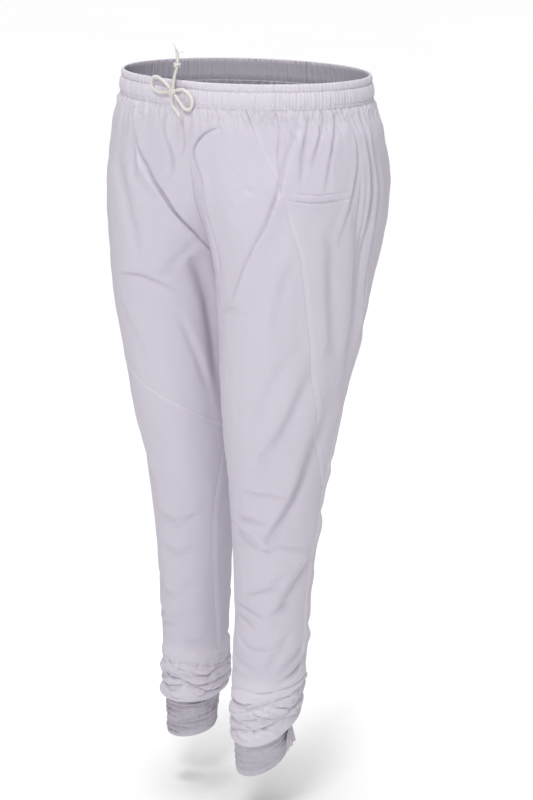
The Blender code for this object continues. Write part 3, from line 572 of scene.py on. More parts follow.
# %% Creases of the far leg, the wearer's right
RIGHT_CREASES = (
    Crease((
        (-0.050, 28), (-0.072, 24), (-0.092, 15.5), (-0.117, 2), (-0.138, -11), (-0.159, -24),
        (-0.178, -36.5), (-0.197, -49), (-0.222, -64),
    ), 0.0036, -0.0032, 0.0024, 1.0, 1.7),
    Crease(((-0.085, 40), (-0.155, 9), (-0.236, -14)), 0.0028, 0.0022, 0.0110),
    Crease(((-0.030, 32), (-0.071, 26), (-0.121, 11)), 0.0024, 0.0018, 0.0050),
    Crease(((-0.028, 13), (-0.065, 10), (-0.109, -5)), 0.0026, 0.0018, 0.0046),
    Crease(((-0.026, 4), (-0.052, 2), (-0.080, 0)), 0.0022, 0.0016, 0.0040),
    Crease(((-0.030, 46), (-0.070, 43), (-0.112, 35)), 0.0022, 0.0018, 0.0050),
    Crease(((-0.032, 60), (-0.080, 60), (-0.150, 55)), 0.0026, 0.0022, 0.0070),
    Crease(((-0.034, 76), (-0.100, 80), (-0.200, 84)), 0.0034, 0.0026, 0.0080),
    Crease(((-0.252, 12), (-0.252, -12), (-0.268, -40)), 0.0019, -0.0016, 0.0030),
    Crease(((-0.205, -48), (-0.232, -38), (-0.250, -26)), 0.0026, 0.0026, 0.0085),
    Crease(((-0.226, -50), (-0.280, -63), (-0.365, -73)), 0.0070, 0.0020, 0.0120),
    Crease(((-0.300, -40), (-0.345, -54), (-0.372, -62)), 0.0018, 0.0012, 0.0070),
    Crease(((-0.280, 30), (-0.330, 8), (-0.380, -8)), 0.0012, 0.0010, 0.0110),
    Crease(((-0.440, 70), (-0.500, 52), (-0.560, 28)), 0.0034, 0.0026, 0.0110),
    Crease(((-0.596, 22), (-0.606, -10), (-0.598, -44)), 0.0024, 0.0020, 0.0060),
    Crease(((-0.620, -4), (-0.612, -24), (-0.600, -42)), 0.0014, 0.0012, 0.0040),
    Crease(((-0.645, 18), (-0.654, -10), (-0.650, -40)), 0.0024, 0.0020, 0.0060),
    Crease(((-0.690, 52), (-0.720, 10), (-0.706, -40)), 0.0020, 0.0018, 0.0090),
    Crease(((-0.745, 60), (-0.760, 20), (-0.752, -30)), 0.0020, 0.0016, 0.0070),
    Crease(((-0.776, 46), (-0.770, 20), (-0.768, -6)), 0.0020, 0.0014, 0.0050),
    Crease(((-0.796, -20), (-0.792, -44), (-0.786, -62)), 0.0012, 0.0010, 0.0050),
    Crease(((-0.822, 30), (-0.834, 4), (-0.838, -28)), 0.0018, -0.0014, 0.0022),
    Crease(((-0.838, -30), (-0.846, -52), (-0.842, -74)), 0.0024, 0.0016, 0.0024),
    Crease(((-0.846, 26), (-0.852, 4), (-0.850, -16)), 0.0020, -0.0014, 0.0022),
    Crease(((-0.852, -18), (-0.862, -40), (-0.858, -66)), 0.0022, 0.0016, 0.0022),
    Crease(((-0.862, 34), (-0.870, 10), (-0.866, -12)), 0.0018, -0.0014, 0.0024),
    Crease(((-0.868, -30), (-0.876, -48), (-0.866, -72)), 0.0022, 0.0016, 0.0024),
    Crease(((-0.874, 20), (-0.880, -4), (-0.876, -26)), 0.0016, 0.0012, 0.0022),
    Crease(((-0.150, 90), (-0.260, 94), (-0.390, 102)), 0.0040, 0.0030, 0.0100),
)

# %% Similar creases on the hidden sides
BACK_CREASES = (
    Crease(((-0.040, 122), (-0.110, 126), (-0.190, 136)), 0.0024, 0.0018, 0.0080),
    Crease(((-0.100, 110), (-0.250, 114), (-0.420, 122)), 0.0036, 0.0028, 0.0110),
    Crease(((-0.226, 146), (-0.262, 180), (-0.258, 214), (-0.238, 244)), 0.0034, 0.0032, 0.0100),
    Crease(((-0.262, 160), (-0.292, 190), (-0.280, 226)), 0.0020, 0.0018, 0.0080),
    Crease(((-0.318, 128), (-0.352, 160), (-0.356, 196)), 0.0024, 0.0020, 0.0120),
    Crease(((-0.300, 214), (-0.340, 236), (-0.400, 250)), 0.0022, 0.0018, 0.0090),
    Crease(((-0.452, 150), (-0.470, 176), (-0.468, 196)), 0.0016, 0.0014, 0.0090),
    Crease(((-0.488, 176), (-0.508, 204), (-0.500, 232)), 0.0026, 0.0022, 0.0080),
    Crease(((-0.506, 122), (-0.540, 158), (-0.548, 206)), 0.0034, 0.0028, 0.0075),
    Crease(((-0.560, 164), (-0.574, 190), (-0.566, 222)), 0.0024, 0.0020, 0.0060),
    Crease(((-0.570, 118), (-0.602, 150), (-0.610, 188)), 0.0028, 0.0024, 0.0085),
    Crease(((-0.604, 206), (-0.622, 228), (-0.652, 250)), 0.0022, 0.0018, 0.0070),
    Crease(((-0.650, 130), (-0.676, 158), (-0.680, 190)), 0.0024, 0.0020, 0.0095),
    Crease(((-0.700, 172), (-0.722, 202), (-0.716, 240)), 0.0022, 0.0020, 0.0070),
    Crease(((-0.730, 116), (-0.756, 152), (-0.760, 192)), 0.0026, 0.0022, 0.0075),
    Crease(((-0.776, 160), (-0.790, 192), (-0.784, 238)), 0.0022, 0.0018, 0.0060),
)


def wandered(creases, rise, swing):
    """The same creases on the other leg, each moved a little up or down and round."""
    moved = []
    for number, crease in enumerate(creases):
        up, round_by = rise * math.sin(2.3 * number + 1), swing * math.cos(1.7 * number)
        path = tuple((height + up, turn + round_by) for height, turn in crease.path)
        moved.append(crease._replace(path=path, depth=crease.depth * (1 + 0.25 * math.sin(3.1 * number))))
    return tuple(moved)


# %% Turn crease lines into relief
CREASE_STEPS = 12
TROUGH_EDGE = 0.8
LIP_OFFSET, LIP_EDGE = 1.6, 1.05
CREASE_STRENGTH = 1.25
LIP_ROLL = 1.25
# Painted shade along creases: the crease depth and narrowness at which it is full, and the width of its dark line.
CREASE_SHADE_DEPTH, CREASE_SHADE_WIDTH, CREASE_SHADE_FULL_WIDTH = 0.004, 0.7, 0.0030


def through(places, count):
    """A count of steps along a smooth curve through places of height and turn."""
    places = np.array(places, float)
    at = np.linspace(0, len(places) - 1, count + 1)
    index = np.minimum(at.astype(int), len(places) - 2)
    t = (at - index)[:, None]
    before, start = places[np.maximum(index - 1, 0)], places[index]
    end, after = places[index + 1], places[np.minimum(index + 2, len(places) - 1)]
    return 0.5 * (
        2 * start + (end - before) * t + (2 * before - 5 * start + 4 * end - after) * t * t
        + (3 * start - before - 3 * end + after) * t ** 3
    )


def crease_relief(creases, height, turn, arc):
    """How far cloth lies in or out at creases, how far each lip rolls over, and how much painted shade darkens
    each crease line.
    """
    total = np.zeros(np.broadcast(height, turn).shape)
    climb_shift, turn_shift, crease_shade = np.zeros(total.shape), np.zeros(total.shape), np.zeros(total.shape)
    height, turn, arc = np.broadcast_arrays(height, turn, arc)
    for crease in creases:
        line_height, line_turn = through(crease.path, CREASE_STEPS).T
        reach = (LIP_OFFSET + 2 * crease.spread) * crease.width * max(crease.flare, 1.0)
        margin = reach / 0.0009
        near = (height < line_height.max() + reach) & (height > line_height.min() - reach)
        near &= (turn < line_turn.max() + margin) & (turn > line_turn.min() - margin)
        if not near.any():
            continue
        h, u, metres = height[near], turn[near], arc[near]
        best = np.full(h.shape, 1e9)
        signed, along = np.zeros(h.shape), np.zeros(h.shape)
        beside_over, beside_up = np.zeros(h.shape), np.zeros(h.shape)
        for i in range(CREASE_STEPS):
            run = (line_turn[i + 1] - line_turn[i]) * metres
            climb = line_height[i + 1] - line_height[i]
            over, up = (u - line_turn[i]) * metres, h - line_height[i]
            share = np.clip((over * run + up * climb) / (run * run + climb * climb), 0, 1)
            off_over, off_up = over - share * run, up - share * climb
            distance = np.hypot(off_over, off_up)
            closer = distance < best
            best = np.where(closer, distance, best)
            side = np.where(run * off_up - climb * off_over > 0, 1.0, -1.0)
            signed = np.where(closer, side * distance, signed)
            along = np.where(closer, (i + share) / CREASE_STEPS, along)
            length = np.hypot(run, climb)
            beside_over = np.where(closer, -climb / length, beside_over)
            beside_up = np.where(closer, run / length, beside_up)
        width = crease.width * (crease.flare + (1 - crease.flare) * along)
        taper = np.sin(np.pi * (0.05 + 0.9 * along)) ** 0.8
        lip_side = -math.copysign(1, crease.lip)
        beside = signed / width * lip_side
        trough = np.exp(-(beside / np.where(beside > 0, 1.0, TROUGH_EDGE)) ** 2)
        lip = np.exp(-((beside - LIP_OFFSET) / np.where(beside > LIP_OFFSET, crease.spread, LIP_EDGE)) ** 2)
        total[near] += CREASE_STRENGTH * taper * (abs(crease.lip) * lip - crease.depth * trough)
        roll = -lip_side * LIP_ROLL * taper * abs(crease.lip) * lip
        climb_shift[near] += roll * beside_up
        turn_shift[near] += roll * beside_over / metres
        # Painted shade: deep, narrow creases get a darkened line in the cloth's colour.
        shade_strength = min(crease.depth / CREASE_SHADE_DEPTH, 1.0) * min((CREASE_SHADE_FULL_WIDTH / crease.width) ** 2, 1.0)
        crease_shade[near] += taper * shade_strength * np.exp(-(signed / width / CREASE_SHADE_WIDTH) ** 2)
    return total, climb_shift, turn_shift, np.clip(crease_shade, 0, 1)


# %% Uneven gathers, soft crumple and ankle puffs
def gather_wave(place, down, span, pitch, rise, reach, seed):
    """Uneven waves along a gathered edge. Each has its own width, height and length."""
    draw = np.random.default_rng(seed)
    count = max(2, round(span / pitch))
    knots = np.concatenate([[0.0], np.cumsum(draw.uniform(0.55, 1.45, count))])
    knots *= span / knots[-1]
    size, length = draw.uniform(0.45, 1.0, count), draw.uniform(0.45, 1.15, count)
    drift = np.cumsum(draw.normal(0, 0.0016, count + 1))
    drift -= np.linspace(drift[0], drift[-1], count + 1)
    moved = place - np.interp(place, knots, drift) * np.clip(down / reach, 0, 1)
    index = np.clip(np.searchsorted(knots, moved) - 1, 0, count - 1)
    share = np.clip((moved - knots[index]) / (knots[index + 1] - knots[index]), 0, 1)
    fade = 1 - ease(down / (reach * length[index]))
    return rise * size[index] * fade * np.sin(np.pi * share) ** 1.2


def crumple(across, down, size, seed, stretch=1.0):
    """Smooth unevenness from -1 to 1, whose waves are about one size across and stretched along."""
    draw = np.random.default_rng(seed)
    total = 0.0
    for _ in range(7):
        angle, phase = draw.uniform(0, 2 * math.pi), draw.uniform(0, 2 * math.pi)
        rate = 2 * math.pi / (size * draw.uniform(0.7, 1.5))
        total = total + np.sin(rate * (across * math.cos(angle) + down * math.sin(angle) / stretch) + phase)
    return total / 4.0


def valley_lines(across, down, size, seed, stretch):
    """Thin uneven lines, where smooth unevenness passes through zero. They are 1 on the line."""
    return np.exp(-(crumple(across, down, size, seed, stretch) / 0.17) ** 2)


Pinch = namedtuple("Pinch", "inseam front outer back puff")
LEFT_PINCHES = (
    Pinch(-0.800, -0.796, -0.800, -0.802, 0.0000),
    Pinch(-0.826, -0.818, -0.820, -0.823, 0.0022),
    Pinch(-0.850, -0.841, -0.830, -0.838, 0.0036),
    Pinch(-0.871, -0.860, -0.866, -0.858, 0.0048),
    Pinch(-0.890, -0.875, -0.874, -0.880, 0.0050),
    Pinch(-0.9005, -0.9005, -0.9005, -0.9005, 0.0058),
)
RIGHT_PINCHES = (
    Pinch(-0.812, -0.806, -0.812, -0.810, 0.0000),
    Pinch(-0.838, -0.829, -0.840, -0.834, 0.0024),
    Pinch(-0.847, -0.848, -0.852, -0.851, 0.0044),
    Pinch(-0.864, -0.852, -0.860, -0.863, 0.0054),
    Pinch(-0.874, -0.863, -0.873, -0.875, 0.0056),
    Pinch(-0.8895, -0.8895, -0.8895, -0.8895, 0.0066),
)
PUFF_DROOP = 0.45
PINCH_FULLNESS = 0.46
FULL_PUFF = 0.011


def pinch_heights(pinches, turn, seed):
    """The height of each pinched line at a turn, in order from the top, with a small wander."""
    turn = np.asarray(turn, float)
    quarter = np.mod(turn + 90, 360) / 90
    index = np.minimum(quarter.astype(int), 3)
    share = ease(quarter - index)
    lines = []
    for number, pinch in enumerate(pinches):
        stops = np.array([pinch.inseam, pinch.front, pinch.outer, pinch.back, pinch.inseam])
        line = stops[index] * (1 - share) + stops[index + 1] * share
        if 0 < number < len(pinches) - 1:
            draw = np.random.default_rng(seed + number)
            for waves in (2, 3, 5):
                line = line + draw.uniform(0.3, 1.0) * 0.0021 * np.sin(
                    np.radians(waves * turn) + draw.uniform(0, 6.3)
                )
        lines.append(line)
    for number in range(1, len(lines)):
        lines[number] = np.minimum(lines[number], lines[number - 1] - 0.0006)
    return lines


def ankle_puffs(pinches, height, turn, seed):
    """Relief and droop of the cloth that stacks above a cuff."""
    lines = pinch_heights(pinches, turn, seed)
    relief = np.zeros(np.broadcast(height, turn).shape)
    for number in range(1, len(pinches)):
        above, below = lines[number - 1], lines[number]
        share = np.clip((above - height) / np.maximum(above - below, 1e-5), 0, 1)
        full = np.clip((above - below) / FULL_PUFF, 0.1, 1.15)
        uneven = 1 + 0.22 * np.sin(np.radians(turn * (1 + number % 3)) + 1.7 * number + seed)
        relief = relief + pinches[number].puff * full * uneven * np.sin(np.pi * share) ** PINCH_FULLNESS
    return relief


# %% [markdown]
# A panel is a grid over its part of the worn form. Its columns are closest at the seams, where the cloth
# turns under, and its rows are closest at the gathers and the ankle. The relief is added to the grid, and a
# Solidify modifier gives the cloth its thickness, inwards, so that the outside stays where it was placed.
# One attribute, layers, marks where seam allowances lie under the cloth: there it is raised a little, and
# the finish makes it whiter, because less shows through two layers of thin cotton than through one.

# %% A panel of cloth
CLOTH = 0.0006
RIM_ANGLE = 68
ROLL_DEPTH, ROLL_WIDTH = 0.00022, 0.0009
ALLOWANCE_RISE = 0.00016
JOIN_ALLOWANCE = 0.0062
STREAK_REACH = 0.034
STACKED_WHITENESS, GATHER_WHITENESS = 1.0, 0.9
CROWN = -0.060
CALM, CALM_BY_FOLD = 0.014, 0.005
EDGE_CROWD = 0.40
GatherLayer = namedtuple("GatherLayer", "pitch rise reach seed")
GATHER_LAYERS = (
    GatherLayer(0.0046, 0.0016, 0.024, 11), GatherLayer(0.0074, 0.0020, 0.044, 23),
    GatherLayer(0.0140, 0.0026, 0.100, 37),
)


def steps(start, end, size):
    count = max(1, round(abs(end - start) / size))
    return [start + (end - start) * number / count for number in range(1, count + 1)]


class Panel:
    """A cut piece of cloth between two edges, each a function that gives a turn for a height."""

    def __init__(self, name, leg, first, last, creases, pinches, **look):
        self.name, self.leg, self.first, self.last = name, leg, first, last
        self.creases, self.pinches = creases, pinches
        self.gathers = look.get("gathers", 1.0)
        self.allowance = look.get("allowance", (0.0, 0.0))
        self.calm = look.get("calm", (0, 0))
        self.seed = look.get("seed", 1)
        self.edge_levels = look.get("edge_levels", ())
        self.whiteness = look.get("whiteness", 1.0)

    def relief(self, height, turn):
        """Outward relief, droop and layers at each place."""
        leg = self.leg
        arc = leg.arc(height)
        first, last = self.first(height), self.last(height)
        from_first, from_last = (turn - first) * arc, (last - turn) * arc
        down = -BAND_HALF - height
        out, climb, slide, crease_shade = crease_relief(self.creases, height, turn, arc)
        free = ease(down / 0.012)
        for distance in (from_first, from_last):
            free = free * ease(distance / 0.006)
        out, climb, slide = out * ease(down / 0.012), climb * free, slide * free
        out = out + 0.0013 * crumple(turn * arc, height, 0.075, 5 + leg.side, 1.6) * ease(down / 0.08)
        out = out + 0.00042 * crumple(turn * arc, height, 0.026, 15 + leg.side, 1.4) * ease(down / 0.05)
        share = (turn - first) / np.maximum(last - first, 1e-6)
        span = float((self.last(-0.02) - self.first(-0.02)) * leg.arc(-0.02))
        emerging = 0.18 + 0.82 * ease(down / 0.006)
        for layer in GATHER_LAYERS:
            out = out + emerging * gather_wave(
                share * span, down, span, layer.pitch, layer.rise, layer.reach * self.gathers,
                layer.seed + self.seed,
            )
        puckers = (1 - ease((down - 0.004) / 0.030)) * emerging
        out = out + 0.0005 * crumple(turn * arc, height, 0.0065, 25 + self.seed, 1.8) * puckers
        out = out - 0.0014 * valley_lines(turn * arc, height, 0.0090, 95 + self.seed, 3.6) * puckers
        for still, distance in zip(self.calm, (from_first, from_last)):
            if still:
                out = out * ease(distance / still)
        ankle = ease((-0.795 - height) / 0.02)
        puff = ankle_puffs(self.pinches, height, turn, 3 + leg.side) * ankle
        fine = 0.0007 * crumple(turn * arc, height, 0.012, 41 + leg.side, 0.45) * ankle
        fine = fine - 0.0015 * valley_lines(turn * arc, height, 0.022, 51 + leg.side, 0.34) * ankle
        out = out + puff + fine * np.sin(np.pi * np.clip((height - leg.ledge) / 0.09, 0, 1))
        crease_shade = crease_shade * (1 - ankle)
        layers = np.maximum(STACKED_WHITENESS * ankle, GATHER_WHITENESS * (1 - ease((down - 0.006) / 0.030)))
        for distance, width in zip((from_first, from_last), self.allowance):
            out = out - ROLL_DEPTH * np.exp(-(distance / ROLL_WIDTH) ** 2)
            if width:
                flap = 1 - ease((distance - width) / 0.0014)
                out = out + ALLOWANCE_RISE * flap
                layers = np.maximum(layers, flap)
        for level in self.edge_levels:
            distance = np.abs(height - level)
            out = out - ROLL_DEPTH * np.exp(-(distance / ROLL_WIDTH) ** 2)
            flap = (height < level) * (1 - ease((distance - JOIN_ALLOWANCE) / 0.0014))
            out = out + ALLOWANCE_RISE * flap
            layers = np.maximum(layers, flap)
            climb = climb * ease(distance / 0.008)
        ledge = ease((height - leg.ledge) / 0.006)
        return out, puff * PUFF_DROOP - climb * ledge, slide, layers, crease_shade

    def points(self, height, turn, lift=0.0):
        out, droop, slide, _, _ = self.relief(height, turn)
        return self.leg.place(height, turn + slide, out + lift, droop)

    def grid(self, rows, columns):
        """Points, UV places and attributes of a grid of rows and columns over this panel."""
        share = np.linspace(0, 1, columns + 1)
        share = share - EDGE_CROWD * np.sin(2 * np.pi * share) / (2 * np.pi)
        height = np.array(rows)[:, None] * np.ones(columns + 1)
        first, last = self.first(height[:, :1]), self.last(height[:, :1])
        turn = first + (last - first) * share
        out, droop, slide, layers, crease_shade = self.relief(height, turn)
        points = self.leg.place(height, turn + slide, out, droop).reshape(-1, 3)
        places = np.stack([(turn + 90) * self.leg.arc(height), height + 1.0], axis=-1).reshape(-1, 2)
        gather = 1 - ease((-BAND_HALF - height) / STREAK_REACH)
        return points, places, layers.ravel(), gather.ravel(), crease_shade.ravel()

    def build(self, rows, columns):
        """A grid with twice as many columns in the gathered crown as below it."""
        flip = self.leg.side < 0
        crown, rest = [row for row in rows if row > CROWN], [row for row in rows if row <= CROWN]
        grids, faces, base = [], [], 0
        if crown:
            fine = 2 * columns
            grids.append(self.grid(crown, fine))
            faces = grid_faces(len(crown), fine + 1, flip)
            base = len(crown) * (fine + 1)
            edge = base - fine - 1
            for j in range(columns):
                face = (edge + 2 * j, base + j, base + j + 1, edge + 2 * j + 2, edge + 2 * j + 1)
                faces.append(face[::-1] if flip else face)
        grids.append(self.grid(rest, columns))
        faces += [tuple(base + corner for corner in face) for face in grid_faces(len(rest), columns + 1, flip)]
        points, places, layers, gather, crease_shade = (np.concatenate(parts) for parts in zip(*grids))
        return cloth_piece(self.name, points, faces, places, layers * self.whiteness, gather=gather, crease_shade=crease_shade)


def grid_faces(rows, columns, flip, closed=False):
    faces = []
    for i in range(rows - 1):
        for j in range(columns if closed else columns - 1):
            after = (j + 1) % columns
            face = (i * columns + j, (i + 1) * columns + j, (i + 1) * columns + after, i * columns + after)
            faces.append(face[::-1] if flip else face)
    return faces


def cloth_piece(name, points, faces, places, layers, wall=CLOTH, gather=0.0, crease_shade=0.0):
    piece = new_piece(name, points, faces, None, places)
    # Besides layers and gather, the third attribute is the painted shade along creases.
    for label, values in (("layers", layers), ("gather", gather), ("crease_shade", crease_shade)):
        attribute = piece.data.attributes.new(label, "FLOAT", "POINT")
        attribute.data.foreach_set("value", np.broadcast_to(np.float32(values), len(points)).copy())
    if wall:
        shell = piece.modifiers.new("thickness", "SOLIDIFY")
        shell.thickness = wall
        shell.offset = -1.0
        thick = bpy.data.meshes.new_from_object(piece.evaluated_get(bpy.context.evaluated_depsgraph_get()))
        thin = piece.data
        piece.modifiers.clear()
        piece.data = thick
        bpy.data.meshes.remove(thin)
        thick.name = name
    piece.data.set_sharp_from_angle(angle=math.radians(RIM_ANGLE))
    return piece


# %% Rows of each leg
def leg_rows(leg, extra=()):
    top = -BAND_HALF - SEAM
    rows = [top, top - 0.0006, top - 0.0014]
    rows += steps(rows[-1], -0.118, 0.0023)
    rows += steps(-0.118, -0.140, 0.0012)
    rows += steps(-0.140, -0.26, 0.0024)
    rows += steps(-0.26, -0.50, 0.0034)
    rows += steps(-0.50, -0.79, 0.0029)
    rows += steps(-0.79, leg.ledge + 0.0022, 0.00135)
    rows += [leg.ledge + 0.0014, leg.ledge + 0.0007, leg.ledge + 0.0002]
    return sorted(set(rows) | set(extra), reverse=True)


def front_first(leg):
    return lambda height: leg.middle(height, back=False)


def back_last(leg):
    return lambda height: leg.middle(height, back=True)


def beside_side_seam(leg, sign):
    return lambda height: leg.side_seam(height) + sign * leg.gap(height, leg.side_seam(height))


def gore_side(sign):
    def edge(height):
        turn = gore_edge.at(height)[0]
        turn = turn + sign * left_leg.gap(height, turn)
        return np.where(height > GORE_END + SEAM, turn, beside_side_seam(left_leg, -1)(height))
    return edge


# %% The seven panels
COLUMNS = {
    "front_left": 112, "gore_left": 104, "back_left": 86, "front_right_upper": 160,
    "front_right_lower": 108, "back_right": 86,
}
left_all, right_all = LEFT_CREASES + BACK_CREASES, RIGHT_CREASES + wandered(BACK_CREASES, 0.014, 8)
panels = {
    "front_left": Panel(
        "front_left_cloth", left_leg, front_first(left_leg), gore_side(-1), left_all, LEFT_PINCHES,
        gathers=0.8, allowance=(0.0, 0.0), calm=(CALM_BY_FOLD, 0), seed=1,
    ),
    "gore_left": Panel(
        "gore_left_cloth", left_leg, gore_side(1), beside_side_seam(left_leg, -1), left_all, LEFT_PINCHES,
        gathers=1.15, allowance=(0.0052, 0.0), seed=2, whiteness=0.5,
    ),
    "back_left": Panel(
        "back_left_cloth", left_leg, beside_side_seam(left_leg, 1), back_last(left_leg), left_all,
        LEFT_PINCHES, gathers=1.0, allowance=(0.008, 0.0), calm=(0, CALM), seed=3,
    ),
    "front_right_upper": Panel(
        "front_right_upper_cloth", right_leg, front_first(right_leg), beside_side_seam(right_leg, -1),
        right_all, RIGHT_PINCHES, gathers=0.9, calm=(CALM, 0), seed=4, edge_levels=(JOIN_HEIGHT,),
    ),
    "front_right_lower": Panel(
        "front_right_lower_cloth", right_leg, front_first(right_leg), beside_side_seam(right_leg, -1),
        right_all, RIGHT_PINCHES, allowance=(0.0, 0.0), calm=(CALM, 0), seed=5,
        edge_levels=(JOIN_HEIGHT,),
    ),
    "back_right": Panel(
        "back_right_cloth", right_leg, beside_side_seam(right_leg, 1), back_last(right_leg), right_all,
        RIGHT_PINCHES, gathers=1.0, allowance=(0.008, 0.007), calm=(0, CALM), seed=6,
    ),
}
left_rows, right_rows = leg_rows(left_leg), leg_rows(right_leg)
near_join = [JOIN_HEIGHT + 0.0005, JOIN_HEIGHT + 0.0013, JOIN_HEIGHT - 0.0005, JOIN_HEIGHT - 0.0013]
right_rows = sorted(set(right_rows) | set(near_join), reverse=True)
rows_of = {
    "front_left": left_rows,
    "gore_left": [row for row in left_rows if row > GORE_END + 0.0035] + [GORE_END + 0.0035],
    "back_left": left_rows,
    "front_right_upper": [row for row in right_rows if row > JOIN_HEIGHT] + [JOIN_HEIGHT + SEAM / 2],
    "front_right_lower": [JOIN_HEIGHT - SEAM / 2] + [row for row in right_rows if row < JOIN_HEIGHT],
    "back_right": right_rows,
}
cloth = {}
for node, panel in panels.items():
    cloth[node] = panel.build(rows_of[node], COLUMNS[node])
    print(panel.name, triangles(cloth[node]), "triangles")

# %% [markdown]
# The waistband is a casing: the cloth is turned over an elastic and a drawstring, and stitched twice round.
# The elastic pulls it into close upright gathers, which break at each stitch line. So the band is one ring
# with two sets of uneven waves, one above the upper stitch line and one below it, over a plainer inside.

# %% The gathered waistband
BAND_COLUMNS = 1040
BAND_WALL = 0.0020
UPPER_STITCH, LOWER_STITCH = 0.0060, -0.0128
BandWave = namedtuple("BandWave", "pitch rise seed")
UPPER_WAVES = (BandWave(0.0047, 0.0013, 71), BandWave(0.0110, 0.0006, 72))
LOWER_WAVES = (BandWave(0.0052, 0.0015, 81), BandWave(0.0135, 0.0008, 82))
BAND_ROUND = 1.02


def band_points(height, turn, out):
    left = left_leg.place(height, np.abs(turn), out)
    right = right_leg.place(height, np.abs(turn), out)
    return np.where((turn >= 0)[..., None], left, right)


def band_relief(height, turn):
    """The casing's swell between its stitch lines, its gathers and its frilled top edge."""
    along = (turn + 180) / 360 * BAND_ROUND
    upper = sum(gather_wave(along, 0 * height, BAND_ROUND, w.pitch, w.rise, 1.0, w.seed) for w in UPPER_WAVES)
    lower = sum(gather_wave(along, 0 * height, BAND_ROUND, w.pitch, w.rise, 1.0, w.seed) for w in LOWER_WAVES)
    blend = ease((UPPER_STITCH + 0.0012 - height) / 0.0024)
    waves = upper * (1 - blend) + lower * blend
    swell = 0.0010 * np.sin(np.pi * np.clip((BAND_HALF - height) / (BAND_HALF - UPPER_STITCH), 0, 1)) ** 0.7
    swell = swell + 0.0020 * np.sin(
        np.pi * np.clip((UPPER_STITCH - height) / (UPPER_STITCH - LOWER_STITCH), 0, 1)
    ) ** 0.7
    stitched = np.exp(-((height - UPPER_STITCH) / 0.0009) ** 2) + np.exp(-((height - LOWER_STITCH) / 0.0009) ** 2)
    return waves * (1 - 0.45 * stitched) + swell - 0.0005 * stitched


def band_shape():
    outer_rows = [BAND_HALF, 0.0154, 0.0140] + steps(0.0140, -0.0148, 0.00115) + [-0.0155, -BAND_HALF]
    inner_rows = steps(-BAND_HALF, 0.0150, 0.0050)
    turn = np.linspace(-180, 180, BAND_COLUMNS, endpoint=False)
    rings = []
    along = (turn + 180) / 360 * BAND_ROUND
    frill = gather_wave(along, 0 * turn, BAND_ROUND, 0.0050, 0.0011, 1.0, 71)
    for height in outer_rows:
        level = np.full(turn.shape, height)
        out = band_relief(level, turn)
        if height == BAND_HALF:
            out = out * 0.45 - 0.0004
        ring = band_points(level, turn, out)
        top = ease((height - 0.0120) / 0.004)
        ring[:, 2] += (0.0004 + frill * 0.6 - 0.0008) * top
        rings.append(ring)
    for height in inner_rows:
        level = np.full(turn.shape, height)
        out = -BAND_WALL + 0.3 * band_relief(level, turn)
        rings.append(band_points(level, turn, out))
    points = np.concatenate(rings)
    count = len(rings)
    faces = []
    for i in range(count):
        for j in range(BAND_COLUMNS):
            after, below = (j + 1) % BAND_COLUMNS, (i + 1) % count
            faces.append((
                i * BAND_COLUMNS + j, below * BAND_COLUMNS + j, below * BAND_COLUMNS + after,
                i * BAND_COLUMNS + after,
            ))
    heights = np.array(outer_rows + inner_rows)[:, None] * np.ones(BAND_COLUMNS)
    places = np.stack([np.broadcast_to(along, heights.shape) * 0.9, heights + 0.1], axis=-1).reshape(-1, 2)
    return points, faces, places


band_mesh = band_shape()
waistband = cloth_piece("waistband_cloth", *band_mesh, layers=0.8, wall=None, gather=0.7)
cloth["waistband"] = waistband
print("waistband", triangles(waistband), "triangles")

# %% [markdown]
# Each cuff is a narrow double band that grips the ankle and wrinkles across, with a row of stitches above
# its hem and a few short pleats where its ends meet. Beside it hangs the free corner of the ankle's slit.

# %% Cuffs and vent flaps
CUFF_COLUMNS = 220
CUFF_THICK = 0.0012
HEM_STITCH = 0.007
CuffWrinkles = namedtuple("CuffWrinkles", "pitch wave line")
CUFF_WRINKLES = {1: CuffWrinkles(0.0092, 0.0011, 0.0007), 2: CuffWrinkles(0.0082, 0.0021, 0.0012)}
Pleat = namedtuple("Pleat", "turn depth")
PLEATS = (
    Pleat(-50, 0.0016), Pleat(-58, 0.0024), Pleat(-66, 0.0028), Pleat(-74, 0.0028), Pleat(-82, 0.0022),
)


